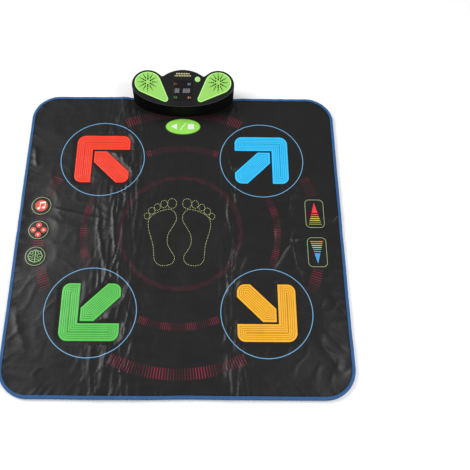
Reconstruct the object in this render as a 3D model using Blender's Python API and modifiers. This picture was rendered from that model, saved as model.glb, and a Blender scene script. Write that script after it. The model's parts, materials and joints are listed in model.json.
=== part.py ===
"""Electronic dance mat: a padded sheet with light-up arrow pads and a speaker console on its back edge.

Units are metres. The origin is on the floor under the middle of the mat. +X points to the right of
someone who stands on the mat and faces the console, +Y points to the console and +Z is up.
"""
import math

import bmesh
import bpy
from mathutils import Matrix, Vector

# The mat's outline
MAT_WIDTH = 0.920
MAT_DEPTH = 0.916
MAT_CORNER = 0.072

# The mat's layers, each as its lowest and highest point
BACKING_Z = (0.0, 0.0010)
PADDING_Z = (0.0012, 0.0030)
LOWER_FILM_Z = (0.0032, 0.0035)
SPACER_Z = (0.0037, 0.0042)
UPPER_FILM_Z = (0.0044, 0.0047)
COVER_FOAM_Z = (0.0049, 0.0067)
TOP_SHEET_Z = (0.0069, 0.0075)
LAYER_INSET = 0.0011

# The tape round the edge: a C in section
BINDING_WIDTH = 0.010
BINDING_WALL = 0.0008
BINDING_TOP = 0.0084
BINDING_SLOT_Z = (0.0010, 0.0077)
BACKING_INSET = BINDING_WIDTH + 0.0003

# Arrow pads: each fills a square turned so that its head points to the mat's corner
ARROW_X = 0.2364
ARROW_BACK_Y = 0.2383
ARROW_FRONT_Y = -0.2313
ARROW_HALF = 0.0795
ARROW_BAR = 0.048
ARROW_CORNER = 0.025
ARROW_END_CORNER = 0.0215
ARROW_GAP = 0.0057
SHAFT_WIDTH = 0.0515
ARROW_PAD_Z = (0.0069, 0.0090)
LIGHT_PANEL_Z = (0.0059, 0.0067)
LIGHT_PANEL_CORNER = 0.020

# Small pads
SMALL_PAD_Z = (0.0059, 0.0083)
PLAY_PAD_Y = 0.354
PLAY_PAD_HALF = (0.0535, 0.0285)
MODE_PAD_X = -0.401
MODE_PAD_RADIUS = 0.030
MODE_PADS = {"music_mode_pad": 0.0817, "arrow_mode_pad": 0.0059, "memory_mode_pad": -0.0736}
VOLUME_PAD_X = 0.384
VOLUME_PAD_HALF = (0.029, 0.0465)
VOLUME_PAD_CORNER = 0.015
VOLUME_PADS = {"volume_up_pad": 0.0632, "volume_down_pad": -0.0557}
PAD_GAP = 0.0003
WELL_GAP = 0.0010

# Switch contacts under an arrow, in the arrow's own square with its head at the upper right
ARROW_CONTACTS = ((0.055, 0.055), (-0.020, 0.055), (0.055, -0.020), (-0.015, -0.015))
CONTACT_RADIUS = 0.009

# The console's outline from above
CONSOLE_HALF_WIDTH = 0.1545
CONSOLE_FRONT_Y = 0.390
CONSOLE_MIDDLE_Y = 0.455
CONSOLE_BACK_Y = 0.4982
LOBE_X = 0.106
LOBE_BACK_Y = 0.4965
LOBE_SWEEP = 125.0
NOTCH = (0.0625, 0.4780)
NOTCH_RADIUS = 0.008

# The console's sloping face, and its walls
FACE_FRONT_Z = 0.0595
FACE_TILT = math.radians(19.8)
FACE_THICKNESS = 0.0032
FACE_EDGE_RADIUS = 0.0025
WALL = 0.0022
BASE_TOP_Z = 0.0120
SHELL_BOTTOM_Z = 0.0123
BASE_UNDER_MAT_Z = 0.0078
BASE_OVER_BINDING_Z = 0.0088
BASE_REAR_Z = 0.0025
BASE_FLOOR = 0.0020
BASE_STEP_Y = 0.4605
BINDING_GROOVE_Y = 0.4465
LIP_INSET = (0.0025, 0.0035)
LIP_TOP_Z = 0.0140

# What stands in the sloping face; places are (across, up the slope) from the middle of its front edge
GRILLE_PLACE = (0.106, 0.0730)
GRILLE_RADIUS = (0.0415, 0.0352)
GRILLE_TIP = (0.0535, 0.0238)
GRILLE_TIP_RADIUS = 0.0100
GRILLE_Z = (-0.0014, 0.0010)
GRILLE_SEAT_Z = -0.0017
GRILLE_GAP = 0.0008

# The star of holes over each speaker: each hole is (distance from the middle, radius), and every
# second row leaves the first one out
STAR_PLACE = (0.1058, 0.0748)
STAR_ROWS = 12
STAR_HOLES = ((0.0096, 0.0017), (0.0145, 0.0014), (0.0192, 0.0012), (0.0238, 0.0010), (0.0283, 0.0008))
SPEAKER_OPENING = 0.031
SPEAKER_FLANGE = 0.0335
SPEAKER_CUP = 0.0285
SPEAKER_COIL = 0.012
SPEAKER_MAGNET = 0.018
SPEAKER_Z = (-0.0230, -0.0035)

# The display and the power button
WINDOW_CENTRE = (0.0, 0.0495)
WINDOW_HALF = (0.030, 0.0295)
WINDOW_CORNER = 0.008
WINDOW_LEDGE = 0.003
WINDOW_Z = (-0.0018, 0.0)
BUTTON_PLACE = (0.0438, 0.0842)
BUTTON_RADIUS = 0.00875
BUTTON_DOME = 0.0034
BUTTON_FLANGE = 0.0014
BUTTON_STEM = 0.0025
BUTTON_BOTTOM = -0.0085
BOARD_HALF_WIDTH = 0.050
BOARD_V = (0.018, 0.089)
BOARD_Z = (-0.0140, -0.0124)
BOARD_PEGS = ((-0.045, 0.023), (0.045, 0.023), (-0.045, 0.068), (0.045, 0.068))
BOARD_PEG_RADIUS = 0.0025
MODULE_HALF = (0.026, 0.0255)
MODULE_HEIGHT = 0.0026
DIGITS_HALF = (0.022, 0.009)
DIGITS_TOP = -0.0036
SWITCH_HALF = 0.003
SWITCH_HEIGHT = 0.0020

# Posts that hold the housing together and to the mat
FRONT_POSTS = ((-0.100, 0.4145), (-0.045, 0.402), (0.045, 0.402), (0.100, 0.4145))
REAR_POSTS = ((-0.068, 0.471), (0.068, 0.471))
POST_RADIUS = 0.0035
PILOT_RADIUS = 0.0011
CLEARANCE_RADIUS = 0.0018
SCREW_SHANK = 0.0009
SCREW_HEAD = 0.0032
SCREW_SEAT = 0.0036
MOUNTING_SCREW_Z = (0.0005, 0.0021, 0.0225)
REAR_SCREW_HEAD = 0.0028
REAR_SCREW_Z = (0.0008, 0.0023, 0.0215)
SCREW_POINT = 0.0012
MOUNTING_PLATE_Z = (0.0002, 0.0030)
MOUNTING_PLATE_X = 0.113
MOUNTING_PLATE_Y = (0.3935, 0.4245)
FOOT_PLACE = (0.122, 0.474)
FOOT_RADIUS = 0.008
FOOT_TOP = 0.0022
FOOT_EDGE = 0.0006

# Battery bay behind the dome, with its door in the back wall
BATTERY_RADIUS = 0.0071
BATTERY_LENGTH = 0.0500
BATTERY_NUB = (0.0027, 0.0010)
CONTACT_THICKNESS = 0.0005
CONTACT_HALF_DEPTH = 0.0062
SPRING_RADII = (0.0050, 0.0030)
TRAY_X = 0.0555
TRAY_Y = (0.4630, 0.4780)
TRAY_Z = (0.0048, 0.0366)
TRAY_WALL = 0.0012
BATTERY_Y = 0.4716
BATTERY_ROWS_Z = (0.0134, 0.0280)
DOOR_OPENING_X = 0.0553
DOOR_OPENING_Y = 0.4795
DOOR_OPENING_Z = (0.0065, 0.0453)
DOOR_GAP = 0.0003
DOOR_SCREW_Z = 0.0410
DOOR_SCREW_RADII = (0.0028, 0.0011)
DOOR_SCREW_DEPTH = 0.0009
BOSS_HALF_WIDTH = 0.005
BOSS_TOP_Z = 0.0452

# Sockets in the back wall of the lobes
JACK_X = 0.106
JACK_Z = 0.0215
JACK_HALF = (0.0060, 0.0062)
JACK_DEPTH = 0.0136
JACK_PROUD = 0.0012
AUX_BUSH = 0.0030
AUX_BORE = 0.00175
POWER_BUSH = 0.0040
POWER_BORE = 0.00275
POWER_PIN = 0.00105

# The films' tail, up into the console
RIBBON_HALF_WIDTH = 0.012
RIBBON_Y = 0.430
RIBBON_THICKNESS = 0.0004
RIBBON_Z = (0.0049, 0.0575)
RIBBON_SLOT = (0.0130, 0.0008)

MATERIALS = {
    "black_vinyl": ((0.012, 0.012, 0.014), 0.30, 0.0),
    "blue_tape": ((0.020, 0.110, 0.420), 0.65, 0.0),
    "grey_foam": ((0.200, 0.200, 0.210), 0.95, 0.0),
    "clear_film": ((0.450, 0.470, 0.500), 0.35, 0.0),
    "backing_mesh": ((0.030, 0.030, 0.032), 0.90, 0.0),
    "red_pad": ((0.900, 0.060, 0.035), 0.40, 0.0),
    "blue_pad": ((0.045, 0.420, 0.860), 0.40, 0.0),
    "green_pad": ((0.085, 0.600, 0.090), 0.40, 0.0),
    "yellow_pad": ((0.950, 0.450, 0.030), 0.40, 0.0),
    "light_panel": ((0.800, 0.820, 0.800), 0.30, 0.0),
    "lime_pad": ((0.200, 0.680, 0.050), 0.40, 0.0),
    "dark_pad": ((0.015, 0.015, 0.017), 0.35, 0.0),
    "console_black": ((0.014, 0.014, 0.017), 0.32, 0.0),
    "lime_plastic": ((0.370, 0.830, 0.180), 0.38, 0.0),
    "speaker_black": ((0.020, 0.020, 0.020), 0.60, 0.0),
    "smoked_window": ((0.010, 0.010, 0.012), 0.08, 0.0),
    "board_green": ((0.015, 0.160, 0.060), 0.50, 0.0),
    "steel": ((0.550, 0.560, 0.580), 0.35, 1.0),
    "battery_jacket": ((0.060, 0.065, 0.070), 0.35, 0.3),
    "rubber": ((0.018, 0.018, 0.018), 0.90, 0.0),
    "film_tail": ((0.600, 0.330, 0.120), 0.45, 0.0),
}


def start_scene():
    """An empty scene with one collection for the parts and one for the cutters."""
    for old in list(bpy.data.objects):
        bpy.data.objects.remove(old)
    collections = []
    for name in ("dance_mat", "cutters"):
        collection = bpy.data.collections.new(name)
        bpy.context.scene.collection.children.link(collection)
        collections.append(collection)
    return collections


PARTS, CUTTERS = start_scene()


def material(name):
    """The named material, made when it is first asked for."""
    found = bpy.data.materials.get(name)
    if found:
        return found
    colour, roughness, metallic = MATERIALS[name]
    made = bpy.data.materials.new(name)
    made.use_nodes = True
    shader = made.node_tree.nodes["Principled BSDF"]
    shader.inputs["Base Color"].default_value = (*colour, 1.0)
    shader.inputs["Roughness"].default_value = roughness
    shader.inputs["Metallic"].default_value = metallic
    return made


def add_piece(name, mesh, finish=None, at=(0.0, 0.0, 0.0), parent=None, smooth=True):
    """A part where finish names its material, or a cutter where it is left out."""
    piece = bpy.data.objects.new(name, mesh)
    piece.location = at
    piece.parent = parent
    if smooth:
        mesh.shade_smooth()
        mesh.set_sharp_from_angle(angle=math.radians(35))
    if finish:
        mesh.materials.append(material(finish))
        PARTS.objects.link(piece)
    else:
        CUTTERS.objects.link(piece)
        piece.hide_render = True
        piece.display_type = "WIRE"
    return piece


def add_empty(name, at, tilt=0.0):
    """An empty that other pieces are placed from."""
    empty = bpy.data.objects.new(name, None)
    empty.location = at
    empty.rotation_euler = (tilt, 0.0, 0.0)
    PARTS.objects.link(empty)
    return empty


def combine(piece, tool, operation):
    """Cuts the tool out of the piece, joins it on or keeps what both share."""
    modifier = piece.modifiers.new(tool.name, "BOOLEAN")
    modifier.object = tool
    modifier.operation = operation
    modifier.solver = "EXACT"


def cut(piece, *tools):
    for tool in tools:
        combine(piece, tool, "DIFFERENCE")


def ellipse_arc(centre, radii, start, end, steps):
    """Points along an ellipse from one angle to another, in degrees, both ends included."""
    points = []
    for step in range(steps + 1):
        angle = math.radians(start + (end - start) * step / steps)
        points.append((centre[0] + radii[0] * math.cos(angle), centre[1] + radii[1] * math.sin(angle)))
    return points


def ellipse(centre, radii, steps):
    """A closed ellipse."""
    return ellipse_arc(centre, radii, 0.0, 360.0 - 360.0 / steps, steps - 1)


def circle(centre, radius, steps=12):
    """A closed circle."""
    return ellipse(centre, (radius, radius), steps)


def rounded(corners, steps=6):
    """An outline through corners (x, y, radius), where a corner with a radius becomes an arc."""
    outline = []
    for index, (x, y, radius) in enumerate(corners):
        corner = Vector((x, y))
        if radius == 0:
            outline.append((x, y))
            continue
        back = (Vector(corners[index - 1][:2]) - corner).normalized()
        ahead = (Vector(corners[(index + 1) % len(corners)][:2]) - corner).normalized()
        half_angle = math.acos(max(-1.0, min(1.0, back.dot(ahead)))) / 2
        centre = corner + (back + ahead).normalized() * radius / math.sin(half_angle)
        first = corner + back * radius / math.tan(half_angle) - centre
        last = corner + ahead * radius / math.tan(half_angle) - centre
        sweep = math.atan2(first.x * last.y - first.y * last.x, first.dot(last))
        for step in range(steps + 1):
            spoke = Matrix.Rotation(sweep * step / steps, 2) @ first
            outline.append((centre.x + spoke.x, centre.y + spoke.y))
    return outline


def rectangle(centre, half, radius=0.0, steps=5):
    """A rectangle, with rounded corners where a radius is given."""
    x, y = centre
    w, d = half
    corners = [(x - w, y - d), (x + w, y - d), (x + w, y + d), (x - w, y + d)]
    return rounded([(cx, cy, radius) for cx, cy in corners], steps)


def inset(outline, distance):
    """An anticlockwise outline moved inwards, or outwards by a negative distance."""
    moved = []
    for index, (x, y) in enumerate(outline):
        corner = Vector((x, y))
        arriving = (corner - Vector(outline[index - 1])).normalized()
        leaving = (Vector(outline[(index + 1) % len(outline)]) - corner).normalized()
        inward_before = Vector((-arriving.y, arriving.x))
        inward_after = Vector((-leaving.y, leaving.x))
        shift = (inward_before + inward_after) * distance / (1.0 + inward_before.dot(inward_after))
        moved.append((x + shift.x, y + shift.y))
    return moved


def plate(name, outline, z_range, holes=(), **placing):
    """A flat piece with upright sides: an outline, with holes through it."""
    bottom, top = z_range
    curve = bpy.data.curves.new(name, "CURVE")
    curve.dimensions = "2D"
    curve.fill_mode = "BOTH"
    curve.extrude = (top - bottom) / 2
    for loop in (outline, *holes):
        spline = curve.splines.new("POLY")
        spline.points.add(len(loop) - 1)
        for point, (x, y) in zip(spline.points, loop):
            point.co = (x, y, 0.0, 1.0)
        spline.use_cyclic_u = True
    drawn = bpy.data.objects.new(name, curve)
    CUTTERS.objects.link(drawn)
    bpy.context.view_layer.update()
    evaluated = drawn.evaluated_get(bpy.context.evaluated_depsgraph_get())
    mesh = bpy.data.meshes.new_from_object(evaluated)
    bpy.data.objects.remove(drawn)
    bpy.data.curves.remove(curve)
    middle = Matrix.Translation((0.0, 0.0, (bottom + top) / 2))
    weld(mesh, middle)
    mesh.name = name
    return add_piece(name, mesh, **placing)


def weld(mesh, move):
    """Joins a mesh's coinciding points and moves it to its place."""
    shape = bmesh.new()
    shape.from_mesh(mesh)
    bmesh.ops.remove_doubles(shape, verts=shape.verts, dist=0.00001)
    bmesh.ops.transform(shape, matrix=move, verts=shape.verts)
    shape.to_mesh(mesh)
    shape.free()


def box(name, low, high, **placing):
    """A box between its lowest and highest corner."""
    size = Vector(high) - Vector(low)
    middle = (Vector(high) + Vector(low)) / 2
    shape = bmesh.new()
    bmesh.ops.create_cube(shape, size=1.0, matrix=Matrix.Translation(middle) @ Matrix.Diagonal((*size, 1.0)))
    mesh = bpy.data.meshes.new(name)
    shape.to_mesh(mesh)
    shape.free()
    return add_piece(name, mesh, smooth=False, **placing)


def add_rod(shape, start, end, radius, sides, end_radius=None):
    """Adds a closed round rod between two points to a mesh that is being built."""
    axis = Vector(end) - Vector(start)
    turn = axis.to_track_quat("Z", "Y").to_matrix().to_4x4()
    middle = Matrix.Translation((Vector(start) + Vector(end)) / 2)
    bmesh.ops.create_cone(shape, cap_ends=True, segments=sides, radius1=radius,
                          radius2=radius if end_radius is None else end_radius,
                          depth=axis.length, matrix=middle @ turn)


def rods(name, ends, radius, sides=12, **placing):
    """One or more parallel rods, each between two points."""
    shape = bmesh.new()
    for start, end in ends:
        add_rod(shape, start, end, radius, sides)
    mesh = bpy.data.meshes.new(name)
    shape.to_mesh(mesh)
    shape.free()
    return add_piece(name, mesh, **placing)


def upright_rods(name, places, z_range, radius, sides=12, **placing):
    """Rods along Z, one at each place (x, y)."""
    ends = [((x, y, z_range[0]), (x, y, z_range[1])) for x, y in places]
    return rods(name, ends, radius, sides, **placing)


def turned(name, profile, sides, **placing):
    """A turned piece: points (radius, height) from the top of the axis down to its bottom."""
    mesh = bpy.data.meshes.new(name)
    points = [(radius, 0.0, height) for radius, height in profile]
    mesh.from_pydata(points, [(i, i + 1) for i in range(len(points) - 1)], [])
    piece = add_piece(name, mesh, **placing)
    screw = piece.modifiers.new("turn", "SCREW")
    screw.steps = sides
    screw.render_steps = sides
    screw.use_merge_vertices = True
    screw.merge_threshold = 0.00001
    return piece


# The mat

def mat_outline(distance):
    """The mat's outline, moved inwards by a distance."""
    half = (MAT_WIDTH / 2 - distance, MAT_DEPTH / 2 - distance)
    return rectangle((0.0, 0.0), half, MAT_CORNER - distance, steps=8)


def arrow_head(grow):
    """The angle of an arrow that points to +X +Y, grown outwards by a distance."""
    outer = ARROW_HALF + grow
    inner = ARROW_HALF - ARROW_BAR - grow
    end = ARROW_END_CORNER + grow
    corners = [(outer, outer, ARROW_CORNER + grow), (-outer, outer, end), (-outer, inner, 0.0),
               (inner, inner, 0.0), (inner, -outer, 0.0), (outer, -outer, end)]
    return rounded(corners, 6)


def arrow_shaft(grow):
    """The diagonal bar of an arrow that points to +X +Y, grown outwards by a distance."""
    front = ARROW_HALF - ARROW_BAR - ARROW_GAP + grow
    back = -ARROW_HALF - grow
    leg = SHAFT_WIDTH / math.sqrt(2) + 2 * grow * (1.0 - 1.0 / math.sqrt(2))
    corners = [(front, front, 0.0), (front - leg, front, 0.0), (back, back + leg, 0.0),
               (back, back, ARROW_END_CORNER + grow), (back + leg, back, 0.0), (front, front - leg, 0.0)]
    return rounded(corners, 6)


def turn_outline(outline, centre, side, end):
    """An outline of the arrow's own square, moved to its place and mirrored to its corner."""
    moved = [(centre[0] + side * x, centre[1] + end * y) for x, y in outline]
    return moved if side * end > 0 else moved[::-1]


ARROWS = {
    "red": ((-ARROW_X, ARROW_BACK_Y), -1, 1),
    "blue": ((ARROW_X, ARROW_BACK_Y), 1, 1),
    "green": ((-ARROW_X, ARROW_FRONT_Y), -1, -1),
    "yellow": ((ARROW_X, ARROW_FRONT_Y), 1, -1),
}


def small_pad_outlines(grow, fineness=1.0):
    """The outlines of the small pads, by name, grown outwards by a distance."""
    play_half = [half + grow for half in PLAY_PAD_HALF]
    outlines = {"play_stop_pad": ellipse((0.0, PLAY_PAD_Y), play_half, round(40 * fineness))}
    for name, y in MODE_PADS.items():
        outlines[name] = circle((MODE_PAD_X, y), MODE_PAD_RADIUS + grow, round(28 * fineness))
    for name, y in VOLUME_PADS.items():
        half = [side + grow for side in VOLUME_PAD_HALF]
        outlines[name] = rectangle((VOLUME_PAD_X, y), half, VOLUME_PAD_CORNER + grow, round(5 * fineness))
    return outlines


def screw_holes():
    """Holes through a layer for the screws that hold the console."""
    return [circle(place, CLEARANCE_RADIUS, 8) for place in FRONT_POSTS]


def ribbon_slot():
    """The slot through a layer for the films' tail."""
    return rectangle((0.0, RIBBON_Y), RIBBON_SLOT)


def make_mat_layers():
    """The flat layers, from the floor up."""
    layer = mat_outline(LAYER_INSET)
    plate_middle = (0.0, sum(MOUNTING_PLATE_Y) / 2)
    plate_half = (MOUNTING_PLATE_X, (MOUNTING_PLATE_Y[1] - MOUNTING_PLATE_Y[0]) / 2)
    pocket = rectangle(plate_middle, [half + PAD_GAP for half in plate_half], 0.006, 3)
    holes = screw_holes()
    plate("anti_slip_backing", mat_outline(BACKING_INSET), BACKING_Z, [pocket], finish="backing_mesh")
    plate("padding_foam", layer, PADDING_Z, [pocket], finish="grey_foam")
    plate("lower_contact_film", layer, LOWER_FILM_Z, holes, finish="clear_film")

    contacts = []
    for centre, side, end in ARROWS.values():
        for x, y in ARROW_CONTACTS:
            contacts.append(circle((centre[0] + side * x, centre[1] + end * y), CONTACT_RADIUS, 8))
    contacts.append(circle((0.0, PLAY_PAD_Y), CONTACT_RADIUS, 8))
    contacts.extend(circle((MODE_PAD_X, y), CONTACT_RADIUS, 8) for y in MODE_PADS.values())
    contacts.extend(circle((VOLUME_PAD_X, y), CONTACT_RADIUS, 8) for y in VOLUME_PADS.values())
    plate("spacer_sheet", layer, SPACER_Z, holes + contacts, finish="grey_foam")
    plate("upper_contact_film", layer, UPPER_FILM_Z, holes, finish="clear_film")

    wells = list(small_pad_outlines(WELL_GAP, 0.6).values())
    panel_half = ARROW_HALF + PAD_GAP
    for centre, _side, _end in ARROWS.values():
        wells.append(rectangle(centre, (panel_half, panel_half), LIGHT_PANEL_CORNER + PAD_GAP, 4))
    plate("cover_foam", layer, COVER_FOAM_Z, holes + wells + [ribbon_slot()], finish="grey_foam")

    windows = list(small_pad_outlines(PAD_GAP).values())
    for centre, side, end in ARROWS.values():
        windows.append(turn_outline(arrow_head(PAD_GAP), centre, side, end))
        windows.append(turn_outline(arrow_shaft(PAD_GAP), centre, side, end))
    plate("top_sheet", layer, TOP_SHEET_Z, holes + windows + [ribbon_slot()], finish="black_vinyl")

    plate("mounting_plate", rectangle(plate_middle, plate_half, 0.006, 3), MOUNTING_PLATE_Z,
          finish="steel")


def make_edge_binding():
    """The tape that wraps the edge of all the layers above the backing."""
    tape = plate("edge_binding", mat_outline(0.0), (0.0, BINDING_TOP), [mat_outline(BINDING_WIDTH)],
                 finish="blue_tape")
    cut(tape, plate("binding_slot", mat_outline(BINDING_WALL), BINDING_SLOT_Z))


def make_arrow_pads():
    """Each arrow rides on one light panel, and the three pieces go down together."""
    for colour, (centre, side, end) in ARROWS.items():
        middle = add_empty(colour + "_arrow", (*centre, ARROW_PAD_Z[0]))
        drop = -ARROW_PAD_Z[0]
        pad_z = [z + drop for z in ARROW_PAD_Z]
        panel_z = [z + drop for z in LIGHT_PANEL_Z]
        finish = colour + "_pad"
        head = turn_outline(arrow_head(0.0), (0.0, 0.0), side, end)
        shaft = turn_outline(arrow_shaft(0.0), (0.0, 0.0), side, end)
        panel = rectangle((0.0, 0.0), (ARROW_HALF, ARROW_HALF), LIGHT_PANEL_CORNER, 4)
        plate(colour + "_arrow_head", head, pad_z, finish=finish, parent=middle)
        plate(colour + "_arrow_shaft", shaft, pad_z, finish=finish, parent=middle)
        plate(colour + "_light_panel", panel, panel_z, finish="light_panel", parent=middle)


def make_small_pads():
    """The play and stop pad, the mode pads and the volume pads."""
    for name, outline in small_pad_outlines(0.0).items():
        finish = "lime_pad" if name == "play_stop_pad" else "dark_pad"
        plate(name, outline, SMALL_PAD_Z, finish=finish)


# The console

def console_outline():
    """A half ellipse in front, a round lobe over each speaker and a dome between the lobes."""
    front_radii = (CONSOLE_HALF_WIDTH, CONSOLE_MIDDLE_Y - CONSOLE_FRONT_Y)
    lobe_radii = (CONSOLE_HALF_WIDTH - LOBE_X, LOBE_BACK_Y - CONSOLE_MIDDLE_Y)
    front = ellipse_arc((0.0, CONSOLE_MIDDLE_Y), front_radii, 270.0, 360.0, 10)
    lobe = ellipse_arc((LOBE_X, CONSOLE_MIDDLE_Y), lobe_radii, 0.0, LOBE_SWEEP, 8)
    rise = CONSOLE_BACK_Y - NOTCH[1]
    dome_radius = (NOTCH[0] ** 2 + rise ** 2) / (2 * rise)
    notch_angle = math.degrees(math.asin((dome_radius - rise) / dome_radius))
    dome_centre = (0.0, CONSOLE_BACK_Y - dome_radius)
    dome = ellipse_arc(dome_centre, (dome_radius, dome_radius), notch_angle, 90.0, 5)
    half = [(x, y, 0.0) for x, y in front + lobe[1:]]
    half.append((*NOTCH, NOTCH_RADIUS))
    half.extend((x, y, 0.0) for x, y in dome[1:])
    mirrored = [(-x, y, radius) for x, y, radius in half[-2:0:-1]]
    return rounded(half + mirrored, 3)


def teardrop(grow, side):
    """A grille's outline: a round end and a small round tip, joined by their two tangents."""
    steps = 16
    round_end = ellipse(GRILLE_PLACE, [radius + grow for radius in GRILLE_RADIUS], 2 * steps)
    tip = circle(GRILLE_TIP, GRILLE_TIP_RADIUS + grow, steps)
    hull = convex_hull(round_end + tip)
    if side > 0:
        return hull
    return [(-x, y) for x, y in hull[::-1]]


def convex_hull(points):
    """The anticlockwise outline round a set of points."""
    ordered = sorted(points)
    halves = []
    for run in (ordered, ordered[::-1]):
        chain = []
        for point in run:
            while len(chain) > 1 and turns_right(chain[-2], chain[-1], point):
                chain.pop()
            chain.append(point)
        halves.append(chain[:-1])
    return halves[0] + halves[1]


def turns_right(a, b, c):
    return (b[0] - a[0]) * (c[1] - a[1]) - (b[1] - a[1]) * (c[0] - a[0]) <= 0.0


def make_console_base():
    """The lower housing half: it stands on the mat in front and steps down behind the mat's edge."""
    outline = console_outline()
    far = CONSOLE_HALF_WIDTH + 0.05
    front = CONSOLE_FRONT_Y - 0.05
    base = plate("console_base", outline, (BASE_REAR_Z, BASE_TOP_Z), finish="console_black")

    hollow = plate("base_hollow", inset(outline, WALL), (BASE_REAR_Z + BASE_FLOOR, BASE_TOP_Z + 0.001))
    floor_z = BASE_UNDER_MAT_Z + BASE_FLOOR
    cut(hollow, box("base_hollow_step", (-far, front, -0.01), (far, BASE_STEP_Y + WALL, floor_z)))
    cut(hollow, upright_rods("base_bosses", FRONT_POSTS + REAR_POSTS, (-0.01, 0.02), POST_RADIUS, 8))
    cut(base, hollow)

    lip = plate("base_lip", inset(outline, LIP_INSET[0]), (BASE_REAR_Z + BASE_FLOOR - 0.0005, LIP_TOP_Z),
                [inset(outline, LIP_INSET[1])])
    combine(base, lip, "UNION")
    cut(base, box("base_under_mat", (-far, front, -0.01), (far, BASE_STEP_Y, BASE_UNDER_MAT_Z)))
    cut(base, box("base_over_binding", (-far, BINDING_GROOVE_Y, -0.01),
                  (far, BASE_STEP_Y, BASE_OVER_BINDING_Z)))
    cut(base, upright_rods("base_screw_holes", FRONT_POSTS + REAR_POSTS, (-0.02, 0.03), CLEARANCE_RADIUS, 8))
    slot_x, slot_y = RIBBON_SLOT
    cut(base, box("base_ribbon_slot", (-slot_x, RIBBON_Y - slot_y, -0.01), (slot_x, RIBBON_Y + slot_y, 0.02)))
    cut(base, door_opening("base_door_opening"))


def door_opening(name):
    """The opening in the back wall of the dome."""
    low = (-DOOR_OPENING_X, DOOR_OPENING_Y, DOOR_OPENING_Z[0])
    high = (DOOR_OPENING_X, CONSOLE_BACK_Y + 0.01, DOOR_OPENING_Z[1])
    return box(name, low, high)


def above_face(name, face, depth):
    """A block that takes away all that is above the face, or above a plane sunk under it."""
    return box(name, (-0.25, -0.10, -depth), (0.25, 0.25, 0.15), parent=face)


def make_console_top(face):
    """The upper housing half, with its sloping face and the seats for what the face carries."""
    outline = console_outline()
    shell = plate("console_top_shell", outline, (0.004, 0.130), finish="console_black")
    cut(shell, above_face("face_plane", face, 0.0))
    edge = shell.modifiers.new("edge", "BEVEL")
    edge.width = FACE_EDGE_RADIUS
    edge.segments = 2
    edge.limit_method = "ANGLE"
    edge.angle_limit = math.radians(50)
    edge.use_clamp_overlap = False
    cut(shell, box("below_split", (-0.25, 0.30, -0.02), (0.25, 0.60, SHELL_BOTTOM_Z)))

    hollow = plate("shell_hollow", inset(outline, WALL), (0.0, 0.130))
    cut(hollow, above_face("face_underside", face, FACE_THICKNESS))
    cut(hollow, upright_rods("shell_posts", FRONT_POSTS + REAR_POSTS, (-0.01, 0.14), POST_RADIUS, 8))
    cut(shell, hollow)
    pegs = upright_rods("board_pegs", BOARD_PEGS, (BOARD_Z[1] + PAD_GAP, -0.002), BOARD_PEG_RADIUS, 6,
                        parent=face)
    combine(shell, pegs, "UNION")

    for side, label in ((-1, "left"), (1, "right")):
        seat = plate(label + "_grille_seat", teardrop(GRILLE_GAP, side), (GRILLE_SEAT_Z, 0.01), parent=face)
        centre = (side * STAR_PLACE[0], STAR_PLACE[1])
        opening = upright_rods(label + "_speaker_opening", [centre], (-0.02, 0.0), SPEAKER_OPENING, 20,
                               parent=face)
        cut(shell, seat, opening)
    window_half = [half + PAD_GAP for half in WINDOW_HALF]
    seat = plate("window_seat", rectangle(WINDOW_CENTRE, window_half, WINDOW_CORNER + PAD_GAP, 4),
                 (WINDOW_Z[0] - PAD_GAP, 0.01), parent=face)
    through_half = [half - WINDOW_LEDGE for half in WINDOW_HALF]
    through = plate("window_opening", rectangle(WINDOW_CENTRE, through_half, WINDOW_CORNER - WINDOW_LEDGE, 3),
                    (-0.006, 0.0), parent=face)
    button_hole = upright_rods("button_hole", [BUTTON_PLACE], (-0.006, 0.01), BUTTON_RADIUS + PAD_GAP, 22,
                               parent=face)
    cut(shell, seat, through, button_hole)
    cut(shell, upright_rods("post_pilots", FRONT_POSTS + REAR_POSTS, (0.0, 0.024), PILOT_RADIUS, 8))
    cut(shell, door_opening("shell_door_opening"))
    for name, x, radius in (("aux_hole", -JACK_X, AUX_BUSH), ("power_hole", JACK_X, POWER_BUSH)):
        ends = ((x, LOBE_BACK_Y - 0.013, JACK_Z), (x, LOBE_BACK_Y + 0.02, JACK_Z))
        cut(shell, rods(name, [ends], radius + PAD_GAP, 16))


def make_grilles_and_speakers(face):
    """The lime green teardrops with their star of holes, and the speakers under them."""
    for side, label in ((-1, "left"), (1, "right")):
        grille = plate(label + "_speaker_grille", teardrop(0.0, side), GRILLE_Z, finish="lime_plastic",
                       parent=face)
        centre_x, centre_v = side * STAR_PLACE[0], STAR_PLACE[1]
        shape = bmesh.new()
        for row in range(STAR_ROWS):
            angle = 2 * math.pi * row / STAR_ROWS
            for reach, radius in STAR_HOLES[1 - row % 2:]:
                x = centre_x + reach * math.cos(angle)
                v = centre_v + reach * math.sin(angle)
                add_rod(shape, (x, v, -0.005), (x, v, 0.005), radius, 6)
        mesh = bpy.data.meshes.new(label + "_grille_holes")
        shape.to_mesh(mesh)
        shape.free()
        cut(grille, add_piece(label + "_grille_holes", mesh, parent=face))

        back, front = SPEAKER_Z
        profile = [(0.0, front - 0.0075), (SPEAKER_COIL - 0.002, front - 0.0060),
                   (SPEAKER_COIL, front - 0.0085), (SPEAKER_CUP, front - 0.0017), (SPEAKER_CUP + 0.002, front), (SPEAKER_FLANGE, front),
                   (SPEAKER_FLANGE, front - 0.0015), (SPEAKER_CUP + 0.0015, front - 0.0015),
                   (SPEAKER_MAGNET, back + 0.0070), (SPEAKER_MAGNET, back), (0.0, back)]
        turned(label + "_speaker", profile, 18, finish="speaker_black", at=(centre_x, centre_v, 0.0),
               parent=face)


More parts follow.
